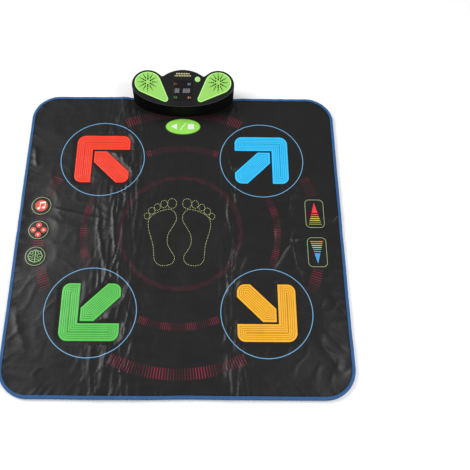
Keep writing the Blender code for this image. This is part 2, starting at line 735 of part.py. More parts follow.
def make_display(face):
    """The window, the lit digits under it and the board that carries them."""
    plate("display_window", rectangle(WINDOW_CENTRE, WINDOW_HALF, WINDOW_CORNER, 4), WINDOW_Z,
          finish="smoked_window", parent=face)
    board_middle = (0.0, sum(BOARD_V) / 2)
    board_half = (BOARD_HALF_WIDTH, (BOARD_V[1] - BOARD_V[0]) / 2)
    plate("circuit_board", rectangle(board_middle, board_half, 0.003, 2), BOARD_Z, finish="board_green",
          parent=face)
    x, v = WINDOW_CENTRE
    low = BOARD_Z[1] + PAD_GAP
    wide, deep = MODULE_HALF
    module = box("display_module", (x - wide, v - deep, low), (x + wide, v + deep, low + MODULE_HEIGHT),
                 finish="speaker_black", parent=face)
    wide, deep = DIGITS_HALF
    digits = box("digit_block", (x - wide, v - deep, low + MODULE_HEIGHT / 2),
                 (x + wide, v + deep, DIGITS_TOP), parent=face)
    combine(module, digits, "UNION")


def make_power_button(face):
    """A domed push button, held under the face by its flange, over a small switch."""
    radius = BUTTON_RADIUS
    rim = radius + BUTTON_FLANGE
    under = -FACE_THICKNESS - PAD_GAP
    flange_bottom = under - 0.0015
    profile = [(0.0, BUTTON_DOME), (radius * 0.45, BUTTON_DOME * 0.88), (radius * 0.8, BUTTON_DOME * 0.53),
               (radius, BUTTON_DOME * 0.1), (radius, under), (rim, under), (rim, flange_bottom),
               (BUTTON_STEM, flange_bottom), (BUTTON_STEM, BUTTON_BOTTOM), (0.0, BUTTON_BOTTOM)]
    turned("power_button", profile, 22, finish="lime_plastic", at=(*BUTTON_PLACE, 0.0), parent=face)
    x, v = BUTTON_PLACE
    low = BOARD_Z[1] + PAD_GAP
    half = SWITCH_HALF
    box("power_switch", (x - half, v - half, low), (x + half, v + half, low + SWITCH_HEIGHT),
        finish="speaker_black", parent=face)


def make_battery_bay():
    """The tray, four batteries end to end in two rows, and the spring contacts at both ends."""
    tray = box("battery_tray", (-TRAY_X, TRAY_Y[0], TRAY_Z[0]), (TRAY_X, TRAY_Y[1], TRAY_Z[1]),
               finish="console_black")
    inner_x = TRAY_X - TRAY_WALL
    cut(tray, box("tray_hollow", (-inner_x, TRAY_Y[0] + TRAY_WALL, TRAY_Z[0] + TRAY_WALL),
                  (inner_x, TRAY_Y[1] + 0.01, TRAY_Z[1] - TRAY_WALL)))
    boss_y = (TRAY_Y[0] + 0.002, CONSOLE_BACK_Y - WALL - 0.0012)
    boss_x = BOSS_HALF_WIDTH
    boss = box("tray_boss", (-boss_x, boss_y[0], TRAY_Z[1] - TRAY_WALL / 2), (boss_x, boss_y[1], BOSS_TOP_Z))
    combine(tray, boss, "UNION")
    hole_ends = ((0.0, boss_y[0] + 0.017, DOOR_SCREW_Z), (0.0, CONSOLE_BACK_Y, DOOR_SCREW_Z))
    cut(tray, rods("tray_boss_hole", [hole_ends], DOOR_SCREW_RADII[1] + 0.0004, 10))

    nub_radius, nub = BATTERY_NUB
    half_gap = 0.0002
    number = 0
    for z in BATTERY_ROWS_Z:
        for side in (-1, 1):
            number += 1
            profile = [(0.0, BATTERY_LENGTH), (nub_radius, BATTERY_LENGTH), (nub_radius, BATTERY_LENGTH - nub),
                       (BATTERY_RADIUS, BATTERY_LENGTH - nub), (BATTERY_RADIUS, 0.0), (0.0, 0.0)]
            cell = turned("battery_%d" % number, profile, 18, finish="battery_jacket",
                          at=(side * half_gap, BATTERY_Y, z))
            cell.rotation_euler = (0.0, side * math.pi / 2, 0.0)

    for side, label in ((-1, "left"), (1, "right")):
        face_x = side * (inner_x - PAD_GAP)
        back_x = face_x - side * CONTACT_THICKNESS
        lows = (min(face_x, back_x), BATTERY_Y - CONTACT_HALF_DEPTH, TRAY_Z[0] + TRAY_WALL + 0.0006)
        highs = (max(face_x, back_x), BATTERY_Y + CONTACT_HALF_DEPTH, TRAY_Z[1] - TRAY_WALL - 0.0006)
        contacts = box(label + "_battery_contacts", lows, highs, finish="steel")
        shape = bmesh.new()
        for z in BATTERY_ROWS_Z:
            start = (back_x + side * CONTACT_THICKNESS / 2, BATTERY_Y, z)
            end = (side * (half_gap + BATTERY_LENGTH + PAD_GAP), BATTERY_Y, z)
            add_rod(shape, start, end, SPRING_RADII[0], 10, SPRING_RADII[1])
        mesh = bpy.data.meshes.new(label + "_springs")
        shape.to_mesh(mesh)
        shape.free()
        combine(contacts, add_piece(label + "_springs", mesh), "UNION")


def make_battery_door():
    """A piece of the dome's back wall that comes off, with its captive screw."""
    outline = console_outline()
    gap = DOOR_GAP
    door = plate("battery_door", outline, (DOOR_OPENING_Z[0] + gap, DOOR_OPENING_Z[1] - gap),
                 [inset(outline, WALL)], finish="console_black")
    reach = DOOR_OPENING_X - gap
    keep = box("door_blank", (-reach, DOOR_OPENING_Y + gap, 0.0), (reach, 0.55, 0.1))
    combine(door, keep, "INTERSECT")
    back = CONSOLE_BACK_Y
    head, shank = DOOR_SCREW_RADII
    outside = (0.0, back + 0.02, DOOR_SCREW_Z)
    cut(door, rods("door_screw_hole", [((0.0, back - 0.01, DOOR_SCREW_Z), outside)], shank + PAD_GAP, 10))
    cut(door, rods("door_screw_seat", [((0.0, back - DOOR_SCREW_DEPTH, DOOR_SCREW_Z), outside)],
                   head + 0.0004, 16))
    under_head = PAD_GAP - DOOR_SCREW_DEPTH
    profile = [(0.0, 0.0006), (head * 0.64, 0.0005), (head, -0.0001), (head, under_head), (shank, under_head),
               (shank, -0.0130), (0.0, -0.0136)]
    screw = turned("battery_door_screw", profile, 16, finish="steel", at=(0.0, back, DOOR_SCREW_Z))
    screw.rotation_euler = (-math.pi / 2, 0.0, 0.0)


def make_jacks():
    """The sockets for sound in, on the left, and for power, on the right."""
    back_y = LOBE_BACK_Y - WALL - 0.0007
    front_y = back_y - JACK_DEPTH
    tip_y = LOBE_BACK_Y + JACK_PROUD
    wide, high = JACK_HALF
    for name, x, bush, bore in (("aux_jack", -JACK_X, AUX_BUSH, AUX_BORE),
                                ("power_jack", JACK_X, POWER_BUSH, POWER_BORE)):
        jack = box(name, (x - wide, front_y, JACK_Z - high), (x + wide, back_y, JACK_Z + high),
                   finish="speaker_black")
        combine(jack, rods(name + "_bush", [((x, back_y - 0.002, JACK_Z), (x, tip_y, JACK_Z))], bush, 16),
                "UNION")
        hole = rods(name + "_bore", [((x, front_y + 0.003, JACK_Z), (x, tip_y + 0.005, JACK_Z))], bore, 14)
        if name == "power_jack":
            cut(hole, rods("power_pin", [((x, front_y, JACK_Z), (x, tip_y - 0.001, JACK_Z))], POWER_PIN, 8))
        cut(jack, hole)


def screw_profile(head_z, head_top, tip_z, head):
    """A plain screw that points up, as a turned profile from its tip down."""
    return [(0.0, tip_z), (SCREW_SHANK, tip_z - SCREW_POINT), (SCREW_SHANK, head_top), (head, head_top),
            (head * 0.88, head_z), (0.0, head_z)]


def make_fasteners():
    """Screws up from the mounting plate and from behind the mat, and the rear feet."""
    mounting_plate = bpy.data.objects["mounting_plate"]
    head_z, head_top, tip_z = MOUNTING_SCREW_Z
    seats = upright_rods("plate_screw_seats", FRONT_POSTS, (-0.001, head_top + 0.0002), SCREW_SEAT, 12)
    cut(mounting_plate, seats, upright_rods("plate_holes", FRONT_POSTS, (0.001, 0.005), CLEARANCE_RADIUS, 8))
    profile = screw_profile(head_z, head_top, tip_z, SCREW_HEAD)
    for number, (x, y) in enumerate(FRONT_POSTS, 1):
        turned("mounting_screw_%d" % number, profile, 12, finish="steel", at=(x, y, 0.0))
    profile = screw_profile(*REAR_SCREW_Z, REAR_SCREW_HEAD)
    for label, (x, y) in zip(("left", "right"), REAR_POSTS):
        turned(label + "_rear_screw", profile, 12, finish="steel", at=(x, y, 0.0))
    profile = [(0.0, FOOT_TOP), (FOOT_RADIUS, FOOT_TOP), (FOOT_RADIUS, FOOT_EDGE),
               (FOOT_RADIUS - FOOT_EDGE, 0.0), (0.0, 0.0)]
    for side, label in ((-1, "left"), (1, "right")):
        place = (side * FOOT_PLACE[0], FOOT_PLACE[1], 0.0)
        turned(label + "_rear_foot", profile, 20, finish="rubber", at=place)


def make_ribbon_cable():
    """The flat tail of the contact films, which stands up through the slots to the board."""
    half = RIBBON_THICKNESS / 2
    box("ribbon_cable", (-RIBBON_HALF_WIDTH, RIBBON_Y - half, RIBBON_Z[0]),
        (RIBBON_HALF_WIDTH, RIBBON_Y + half, RIBBON_Z[1]), finish="film_tail")


def settle_shapes():
    """Applies what cuts and shapes each part, and shades it smooth but for its edges."""
    bpy.context.view_layer.update()
    graph = bpy.context.evaluated_depsgraph_get()
    shaped = [piece for piece in PARTS.objects if piece.modifiers]
    meshes = [bpy.data.meshes.new_from_object(piece.evaluated_get(graph)) for piece in shaped]
    for piece, mesh in zip(shaped, meshes):
        piece.modifiers.clear()
        piece.data = mesh
        mesh.name = piece.name
        mesh.shade_smooth()
        mesh.set_sharp_from_angle(angle=math.radians(35))
    for cutter in list(CUTTERS.objects):
        bpy.data.objects.remove(cutter)


def main():
    make_mat_layers()
    make_edge_binding()
    make_arrow_pads()
    make_small_pads()
    face = add_empty("console_face", (0.0, CONSOLE_FRONT_Y, FACE_FRONT_Z), FACE_TILT)
    make_console_base()
    make_console_top(face)
    make_grilles_and_speakers(face)
    make_display(face)
    make_power_button(face)
    make_battery_bay()
    make_battery_door()
    make_jacks()
    make_fasteners()
    make_ribbon_cable()
    settle_shapes()


main()
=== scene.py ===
"""An electronic dance mat with a speaker console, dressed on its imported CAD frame."""

import json
import math
from collections import namedtuple

import bpy
import numpy as np
from bpy.props import FloatProperty, FloatVectorProperty, PointerProperty
from mathutils import Matrix, Vector
from mathutils.geometry import delaunay_2d_cdt
from mathutils.kdtree import KDTree


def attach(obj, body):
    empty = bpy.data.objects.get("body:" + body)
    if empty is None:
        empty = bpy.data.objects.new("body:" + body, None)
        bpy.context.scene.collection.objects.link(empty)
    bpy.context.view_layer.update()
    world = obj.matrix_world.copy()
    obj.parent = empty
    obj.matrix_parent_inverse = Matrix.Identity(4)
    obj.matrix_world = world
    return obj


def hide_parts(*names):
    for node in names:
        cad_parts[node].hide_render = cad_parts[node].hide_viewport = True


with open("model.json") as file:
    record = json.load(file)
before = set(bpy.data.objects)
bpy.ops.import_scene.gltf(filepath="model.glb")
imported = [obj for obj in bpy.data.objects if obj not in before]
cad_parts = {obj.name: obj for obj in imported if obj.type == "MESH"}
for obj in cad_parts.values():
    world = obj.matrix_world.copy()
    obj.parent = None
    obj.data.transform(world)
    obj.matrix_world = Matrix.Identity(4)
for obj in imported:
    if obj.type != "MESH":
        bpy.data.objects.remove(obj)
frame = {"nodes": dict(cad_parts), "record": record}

bl_info = {
    "name": "Electronic dance mat",
    "version": (1, 0, 0),
    "blender": (4, 5, 0),
    "location": "3D View > Sidebar > Dance mat",
    "description": "Dresses the CAD model of an electronic dance mat",
    "category": "Object",
}

# Sizes, in metres, those of the CAD model. Only the mat's corner and the tape's width are closer to the
# photograph here, where they are rounder and narrower

MM = 0.001
MIDDLE = (0.0, 0.0)

MAT_WIDTH = 0.920
MAT_DEPTH = 0.916
MAT_CORNER = 0.080
LAYER_INSET = 1.1 * MM
SHEET_BOTTOM = 6.9 * MM
SHEET_TOP = 7.5 * MM
TAPE_WIDTH = 8.8 * MM
TAPE_TOP = 8.4 * MM
TAPE_WALL = 0.8 * MM

ARROW_X = 0.2364
ARROW_BACK_Y = 0.2383
ARROW_FRONT_Y = -0.2313
ARROW_HALF = 0.0795
ARROW_BAR = 0.048
ARROW_CORNER = 0.025
ARROW_END_CORNER = 0.0215
ARROW_GAP = 0.0057
SHAFT_WIDTH = 0.0515
PAD_GAP = 0.3 * MM
SMALL_PAD_BOTTOM = 5.9 * MM

# Each arrow has its centre, and which way it points along X and along Y
ARROWS = {
    "red": ((-ARROW_X, ARROW_BACK_Y), -1, 1),
    "blue": ((ARROW_X, ARROW_BACK_Y), 1, 1),
    "green": ((-ARROW_X, ARROW_FRONT_Y), -1, -1),
    "yellow": ((ARROW_X, ARROW_FRONT_Y), 1, -1),
}

# Each small pad has its centre, its half width and half depth, and its corner's radius
SMALL_PADS = {
    "play_stop": ((0.0, 0.3540), (0.0535, 0.0285), None),
    "music_mode": ((-0.401, 0.0817), (0.030, 0.030), None),
    "arrow_mode": ((-0.401, 0.0059), (0.030, 0.030), None),
    "memory_mode": ((-0.401, -0.0736), (0.030, 0.030), None),
    "volume_up": ((0.384, 0.0632), (0.029, 0.0465), 0.015),
    "volume_down": ((0.384, -0.0557), (0.029, 0.0465), 0.015),
}

BACKING_INSET = 10.3 * MM
BACKING_TOP = 1.0 * MM
MOUNTING_PLATE = (0.0, 0.409), (0.1133, 0.0158)
PLATE_CORNER = 6 * MM
FRONT_POSTS = ((-0.100, 0.4145), (-0.045, 0.402), (0.045, 0.402), (0.100, 0.4145))
REAR_POSTS = ((-0.068, 0.471), (0.068, 0.471))
POST_RADIUS = 3.5 * MM
PILOT_RADIUS = 1.1 * MM
SCREW_HOLE = 1.8 * MM
RIBBON_Y = 0.430
RIBBON_SLOT = (0.0130, 0.0008)

# The layers between the backing and the top sheet, from the floor up: the lower and upper side of each
PADDING_Z = (1.2 * MM, 3.0 * MM)
LOWER_FILM_Z = (3.2 * MM, 3.5 * MM)
SPACER_Z = (3.7 * MM, 4.2 * MM)
UPPER_FILM_Z = (4.4 * MM, 4.7 * MM)
COVER_Z = (4.9 * MM, 6.7 * MM)
WELL_GAP = 1.0 * MM
LIGHT_PANEL_CORNER = 20 * MM
CONTACT_RADIUS = 9 * MM
ARROW_CONTACTS = ((0.055, 0.055), (-0.020, 0.055), (0.055, -0.020), (-0.015, -0.015))

CONSOLE_HALF_WIDTH = 0.1545
CONSOLE_FRONT_Y = 0.390
CONSOLE_MIDDLE_Y = 0.455
CONSOLE_BACK_Y = 0.4982
LOBE_X = 0.106
LOBE_BACK_Y = 0.4965
LOBE_SWEEP = 125.0
NOTCH = (0.0625, 0.4780)
NOTCH_RADIUS = 0.008
WALL = 2.2 * MM
BASE_REAR_Z = 2.5 * MM
BASE_UNDER_MAT_Z = 7.8 * MM
BASE_OVER_TAPE_Z = 8.8 * MM
BASE_GROOVE_Y = 0.4465
BASE_STEP_Y = 0.4605
BASE_TOP_Z = 12.0 * MM
BASE_FLOOR = 2.0 * MM
SHELL_BOTTOM_Z = 12.3 * MM
FACE_FRONT_Z = 0.0595
FACE_TILT = math.radians(19.8)
FACE_THICKNESS = 3.2 * MM
FACE_EDGE = 2.5 * MM
DOOR_HALF_WIDTH = 0.0553
DOOR_Z = (6.5 * MM, 45.3 * MM)
DOOR_CUT_Y = (0.4795, 0.55)
DOOR_SCREW_Z = 41.0 * MM
JACKS = ((-0.106, 3.0 * MM), (0.106, 4.0 * MM))
JACK_Z = 21.5 * MM
JACK_CUT_Y = 0.486

# On the console's face: places along X and up the slope, sizes, and heights off the face
GRILLE_PLACE = (0.106, 0.0730)
GRILLE_RADIUS = (0.0394, 0.0332)
GRILLE_TIP = (0.0535, 0.0238)
GRILLE_TIP_RADIUS = 9.2 * MM
GRILLE_GAP = 1.6 * MM
GRILLE_BOTTOM = -1.4 * MM
GRILLE_SEAT = -1.7 * MM
STAR_PLACE = (0.1058, 0.0748)
STAR_ROWS = 12
STAR_HOLES = ((0.0092, 0.0026), (0.0148, 0.0022), (0.0199, 0.0019), (0.0244, 0.0015), (0.0283, 0.0011))
SPEAKER_OPENING = 0.031
WINDOW_CENTRE = (0.0, 0.0495)
WINDOW_HALF = (0.030, 0.0295)
WINDOW_CORNER = 0.008
WINDOW_BOTTOM = -1.8 * MM
WINDOW_LEDGE = 2.0 * MM
BUTTON_PLACE = (0.0438, 0.0842)
BUTTON_RADIUS = 8.3 * MM
BUTTON_HEIGHT = 3.4 * MM
TITLE_PLACE = (-0.0009, 0.0982)


# Outlines

def arc(centre, radii, start, end, steps):
    """Points along an ellipse from one angle to another, in degrees, both ends included."""
    angles = np.radians(np.linspace(start, end, steps + 1))
    return [(centre[0] + radii[0] * math.cos(a), centre[1] + radii[1] * math.sin(a)) for a in angles]


def ellipse(centre, radii, steps):
    """A closed ellipse."""
    return arc(centre, radii, 0.0, 360.0 - 360.0 / steps, steps - 1)


def circle(centre, radius, steps=48):
    """A closed circle."""
    return ellipse(centre, (radius, radius), steps)


def rounded(corners, steps=8):
    """An outline through corners (x, y, radius), where a corner with a radius becomes an arc."""
    outline = []
    for index, (x, y, radius) in enumerate(corners):
        corner = Vector((x, y))
        if radius <= 0:
            outline.append((x, y))
            continue
        back = (Vector(corners[index - 1][:2]) - corner).normalized()
        ahead = (Vector(corners[(index + 1) % len(corners)][:2]) - corner).normalized()
        half_angle = math.acos(max(-1.0, min(1.0, back.dot(ahead)))) / 2
        centre = corner + (back + ahead).normalized() * radius / math.sin(half_angle)
        first = corner + back * radius / math.tan(half_angle) - centre
        last = corner + ahead * radius / math.tan(half_angle) - centre
        sweep = math.atan2(first.x * last.y - first.y * last.x, first.dot(last))
        for step in range(steps + 1):
            spoke = Matrix.Rotation(sweep * step / steps, 2) @ first
            outline.append((centre.x + spoke.x, centre.y + spoke.y))
    return outline


def rectangle(centre, half, radius=0.0, steps=8):
    """A rectangle, with rounded corners where a radius is given."""
    x, y = centre
    w, d = half
    corners = [(x - w, y - d), (x + w, y - d), (x + w, y + d), (x - w, y + d)]
    return rounded([(cx, cy, radius) for cx, cy in corners], steps)


def lengths_along(line):
    """How far along a line each of its points is."""
    return np.concatenate([[0.0], np.cumsum(np.linalg.norm(np.diff(line, axis=0), axis=1))])


def perimeter(outline):
    """The length of a closed outline."""
    return sum(math.dist(a, b) for a, b in zip(outline, outline[1:] + outline[:1]))


def evenly(outline, step):
    """The same outline with its points at equal steps along it."""
    line = np.array(list(outline) + [outline[0]], float)
    lengths = lengths_along(line)
    count = max(3, round(lengths[-1] / step))
    places = np.linspace(0.0, lengths[-1], count + 1)[:-1]
    return [tuple(p) for p in np.c_[np.interp(places, lengths, line[:, 0]),
                                    np.interp(places, lengths, line[:, 1])]]


def divided(outline, step):
    """The same outline, with its long straight edges cut into equal parts."""
    points = []
    for index, start in enumerate(outline):
        end = outline[(index + 1) % len(outline)]
        parts = max(1, math.ceil(math.dist(start, end) / step))
        for part in range(parts):
            share = part / parts
            points.append((start[0] + (end[0] - start[0]) * share, start[1] + (end[1] - start[1]) * share))
    return points


def bend(a, b, c, d, steps):
    """Points of a smooth line from b up to c, where a comes before them and d after them."""
    return [tuple(0.5 * (2 * b + (c - a) * t + (2 * a - 5 * b + 4 * c - d) * t * t
                         + (3 * b - a - 3 * c + d) * t ** 3))
            for t in np.linspace(0.0, 1.0, steps, endpoint=False)]


def curved(points, step):
    """A closed smooth line through a few points, with its own points at equal steps."""
    line = []
    for index in range(len(points)):
        line += bend(*(Vector(points[(index + k) % len(points)]) for k in (-1, 0, 1, 2)), 12)
    return evenly(line, step)


def soft_bend(points):
    """An open smooth line through a few points."""
    ends = [Vector(points[0]) * 2 - Vector(points[1])] + [Vector(p) for p in points]
    ends.append(Vector(points[-1]) * 2 - Vector(points[-2]))
    line = []
    for four in zip(ends, ends[1:], ends[2:], ends[3:]):
        line += bend(*four, 5)
    return line + [tuple(points[-1])]


def left_of(ahead):
    """The unit vectors to the left of directions."""
    ahead = ahead / np.linalg.norm(ahead, axis=1)[:, None]
    return np.c_[-ahead[:, 1], ahead[:, 0]]


def inward_of(outline):
    """The unit vectors that point inwards from the points of an anticlockwise outline."""
    return left_of(np.roll(outline, -1, axis=0) - np.roll(outline, 1, axis=0))


def strip(line, width):
    """A closed outline of a given width along an open line."""
    points = np.array(line, float)
    side = left_of(np.gradient(points, axis=0)) * width / 2
    return [tuple(p) for p in np.vstack([points - side, (points + side)[::-1]])]


def lens(line, width):
    """A closed outline along an open line that narrows to both its ends."""
    points = np.array(line, float)
    reach = width / 2 * np.sin(np.linspace(0.0, math.pi, len(points))) ** 0.7
    side = left_of(np.gradient(points, axis=0)) * reach[:, None]
    return [tuple(p) for p in np.vstack([points - side, (points + side)[-2:0:-1]])]


def moved(outline, by):
    """An outline shifted by (x, y)."""
    return [(x + by[0], y + by[1]) for x, y in outline]


def scaled(outline, factor):
    """An outline drawn larger or smaller about the origin."""
    return [(x * factor, y * factor) for x, y in outline]


def inset(outline, distance):
    """An anticlockwise outline moved inwards."""
    moved_in = []
    for index, (x, y) in enumerate(outline):
        corner = Vector((x, y))
        arriving = (corner - Vector(outline[index - 1])).normalized()
        leaving = (Vector(outline[(index + 1) % len(outline)]) - corner).normalized()
        before, after = Vector((-arriving.y, arriving.x)), Vector((-leaving.y, leaving.x))
        shift = (before + after) * distance / (1.0 + before.dot(after))
        moved_in.append((x + shift.x, y + shift.y))
    return moved_in


def mat_outline(distance):
    """The mat's outline, moved inwards by a distance."""
    half = (MAT_WIDTH / 2 - distance, MAT_DEPTH / 2 - distance)
    return rectangle(MIDDLE, half, MAT_CORNER - distance, 24)


def arrow_head(grow):
    """The angle of an arrow that points to +X +Y, grown outwards by a distance."""
    outer = ARROW_HALF + grow
    inner = ARROW_HALF - ARROW_BAR - grow
    end = ARROW_END_CORNER + grow
    corners = [(outer, outer, ARROW_CORNER + grow), (-outer, outer, end), (-outer, inner, 0.0),
               (inner, inner, 0.0), (inner, -outer, 0.0), (outer, -outer, end)]
    return divided(rounded(corners, 10), 6 * MM)


def arrow_shaft(grow):
    """The diagonal bar of an arrow that points to +X +Y, grown outwards by a distance."""
    front = ARROW_HALF - ARROW_BAR - ARROW_GAP + grow
    back = -ARROW_HALF - grow
    leg = (SHAFT_WIDTH + 2 * grow) / math.sqrt(2)
    corners = [(front, front, 0.0), (front - leg, front, 0.0), (back, back + leg, 0.0),
               (back, back, ARROW_END_CORNER + grow), (back + leg, back, 0.0), (front, front - leg, 0.0)]
    return divided(rounded(corners, 10), 6 * MM)


def place_arrow(outline, colour):
    """An outline of the arrow's own square, moved to its place and mirrored to its corner."""
    centre, side, end = ARROWS[colour]
    turned = [(centre[0] + side * x, centre[1] + end * y) for x, y in outline]
    return turned if side * end > 0 else turned[::-1]


def small_pad(name, grow):
    """A small pad's outline, grown outwards by a distance."""
    centre, half, corner = SMALL_PADS[name]
    half = (half[0] + grow, half[1] + grow)
    if corner is None:
        return ellipse(centre, half, 72)
    return divided(rectangle(centre, half, corner + grow, 12), 5 * MM)


def console_outline():
    """The console's outline: a half ellipse in front, two round lobes and a dome between them."""
    front_radii = (CONSOLE_HALF_WIDTH, CONSOLE_MIDDLE_Y - CONSOLE_FRONT_Y)
    lobe_radii = (CONSOLE_HALF_WIDTH - LOBE_X, LOBE_BACK_Y - CONSOLE_MIDDLE_Y)
    front = arc((0.0, CONSOLE_MIDDLE_Y), front_radii, 270.0, 360.0, 60)
    lobe = arc((LOBE_X, CONSOLE_MIDDLE_Y), lobe_radii, 0.0, LOBE_SWEEP, 36)
    radius, angle = dome_arc(NOTCH[0])
    dome = arc((0.0, CONSOLE_BACK_Y - radius), (radius, radius), 90.0 - angle, 90.0, 18)
    half = [(x, y, 0.0) for x, y in front + lobe[1:]]
    half.append((*NOTCH, NOTCH_RADIUS))
    half.extend((x, y, 0.0) for x, y in dome if x < NOTCH[0] - NOTCH_RADIUS)
    mirrored = [(-x, y, corner) for x, y, corner in half[-2:0:-1]]
    return rounded(half + mirrored, 8)


def dome_arc(half_width):
    """The radius of the dome at the console's back, and the angle of its arc out to a half width."""
    rise = CONSOLE_BACK_Y - NOTCH[1]
    radius = (NOTCH[0] ** 2 + rise ** 2) / (2 * rise)
    return radius, math.degrees(math.asin(half_width / radius))


def teardrop(grow, side):
    """A grille's outline: a round end and a small round tip, joined by their two tangents."""
    round_end = ellipse(GRILLE_PLACE, [radius + grow for radius in GRILLE_RADIUS], 96)
    tip = circle(GRILLE_TIP, GRILLE_TIP_RADIUS + grow, 48)
    hull = divided(convex_hull(round_end + tip), 4 * MM)
    return hull if side > 0 else [(-x, y) for x, y in hull[::-1]]


def convex_hull(points):
    """The anticlockwise outline round a set of points."""
    ordered = sorted(points)
    halves = []
    for run in (ordered, ordered[::-1]):
        chain = []
        for point in run:
            while len(chain) > 1 and turns_right(chain[-2], chain[-1], point):
                chain.pop()
            chain.append(point)
        halves.append(chain[:-1])
    return halves[0] + halves[1]


def turns_right(a, b, c):
    """Whether the way from a to b doesn't turn left to c."""
    return (b[0] - a[0]) * (c[1] - a[1]) - (b[1] - a[1]) * (c[0] - a[0]) <= 1e-12


# Mesh work

FACE = Matrix.Translation((0.0, CONSOLE_FRONT_Y, FACE_FRONT_Z)) @ Matrix.Rotation(FACE_TILT, 4, "X")

BARE = -1
HOLE = -2
Plate = namedtuple("Plate", "points tops marks others")


def anticlockwise(outline):
    """Whether a closed outline runs anticlockwise."""
    line = np.array(outline)
    ahead = np.roll(line, -1, axis=0)
    return (line[:, 0] * ahead[:, 1] - line[:, 1] * ahead[:, 0]).sum() > 0


def triangulate(loops, free=()):
    """Fills the space round closed loops and free points with triangles.

    Returns the points, the triangles, the last loop that each triangle lies in, or -1, and the new
    number of each point that was given.
    """
    given = [Vector(p) for loop in loops for p in loop] + [Vector(p) for p in free]
    faces = []
    start = 0
    for loop in loops:
        numbers = list(range(start, start + len(loop)))
        faces.append(numbers if anticlockwise(loop) else numbers[::-1])
        start += len(loop)
    found = delaunay_2d_cdt(given, [], faces, 0, 1e-8)
    points = np.array([p[:] for p in found[0]])
    triangles = np.array(found[2])
    owners = np.array([max(owner) if owner else -1 for owner in found[5]])
    number_of = np.zeros(len(given), int)
    for new, olds in enumerate(found[3]):
        number_of[olds] = new
    return points, triangles, owners, number_of


def within(outline, x, y):
    """Which places lie inside a closed outline."""
    inside = np.zeros(np.shape(x), bool)
    for (x0, y0), (x1, y1) in zip(outline, outline[1:] + outline[:1]):
        if y0 == y1:
            continue
        crosses = (y0 > y) != (y1 > y)
        inside ^= crosses & (x < x0 + (y - y0) * (x1 - x0) / (y1 - y0))
    return inside


def distance_to(outline, x, y):
    """How far each place is from a closed outline."""
    nearest = np.full(np.shape(x), np.inf)
    for (x0, y0), (x1, y1) in zip(outline, outline[1:] + outline[:1]):
        along_x, along_y = x1 - x0, y1 - y0
        length = max(along_x ** 2 + along_y ** 2, 1e-18)
        share = np.clip(((x - x0) * along_x + (y - y0) * along_y) / length, 0.0, 1.0)
        nearest = np.minimum(nearest, np.hypot(x - x0 - share * along_x, y - y0 - share * along_y))
    return nearest


def height_from(outline, distances, heights):
    """A height for each place by its distance from an outline. Both lists are in millimetres."""
    distances, heights = np.array(distances) * MM, np.array(heights) * MM
    return lambda x, y: np.interp(distance_to(outline, x, y), distances, heights)


def free_points(outline, spacing, clear_of):
    """A loose grid of points inside an outline that keeps off the points of the loops."""
    edge = np.array(outline)
    low, high = edge.min(axis=0), edge.max(axis=0)
    across = np.arange(low[0] + spacing / 2, high[0], spacing)
    along = np.arange(low[1] + spacing / 2, high[1], spacing)
    x, y = (grid.ravel() for grid in np.meshgrid(across, along))
    chance = np.random.default_rng(5)
    x = x + spacing * chance.uniform(-0.22, 0.22, len(x))
    y = y + spacing * chance.uniform(-0.22, 0.22, len(y))
    inside = within(outline, x, y)
    x, y = x[inside], y[inside]
    tree = KDTree(len(clear_of))
    for index, (px, py) in enumerate(clear_of):
        tree.insert((px, py, 0.0), index)
    tree.balance()
    return [(px, py) for px, py in zip(x, y) if tree.find((px, py, 0.0))[2] > 0.45 * spacing]


def plate(outline, shapes, top, bottom, spacing=None, levels=None):
    """A closed plate inside an outline.

    A shape is a loop and what it marks: a HOLE, BARE or an ink's number. top(x, y) and bottom give the
    heights, and levels adds a height to the points of each loop.
    """
    loops = [outline] + [loop for loop, _ in shapes]
    kinds = np.array([BARE] + [kind for _, kind in shapes] + [HOLE])
    corners = [p for loop in loops for p in loop]
    free = free_points(outline, spacing, corners) if spacing else []
    flat, triangles, owners, number_of = triangulate(loops, free)
    marks = kinds[owners]
    triangles, marks = triangles[marks != HOLE], marks[marks != HOLE]
    heights = np.broadcast_to(top(flat[:, 0], flat[:, 1]), len(flat)).copy()
    starts = np.cumsum([0] + [len(loop) for loop in loops])
    if levels is not None:
        for index, level in enumerate(levels):
            heights[np.unique(number_of[starts[index]:starts[index + 1]])] += level

    edges = [0] + [1 + i for i, (_, kind) in enumerate(shapes) if kind == HOLE]
    below = [loops[i] for i in edges]
    low_flat, low_triangles, low_owners, low_number = triangulate(below)
    low_triangles = low_triangles[low_owners == 0] + len(flat)
    others = [tuple(t[::-1]) for t in low_triangles]
    place = 0
    for number, index in enumerate(edges):
        count = len(loops[index])
        upper = number_of[starts[index]:starts[index] + count]
        lower = low_number[place:place + count] + len(flat)
        place += count
        outward = anticlockwise(loops[index]) == (number == 0)
        for a in range(count):
            b = (a + 1) % count
            wall = (lower[a], lower[b], upper[b], upper[a])
            others.append(wall if outward else wall[::-1])
    low = np.c_[low_flat, np.full(len(low_flat), bottom)]
    points = np.vstack([np.c_[flat, heights], low])
    return Plate(points, triangles, marks, others)


def border(triangles):
    """The edges that only one triangle has, in its direction."""
    edges = np.vstack([triangles[:, [0, 1]], triangles[:, [1, 2]], triangles[:, [2, 0]]])
    size = triangles.max() + 1
    return edges[~np.isin(edges[:, 0] * size + edges[:, 1], edges[:, 1] * size + edges[:, 0])]


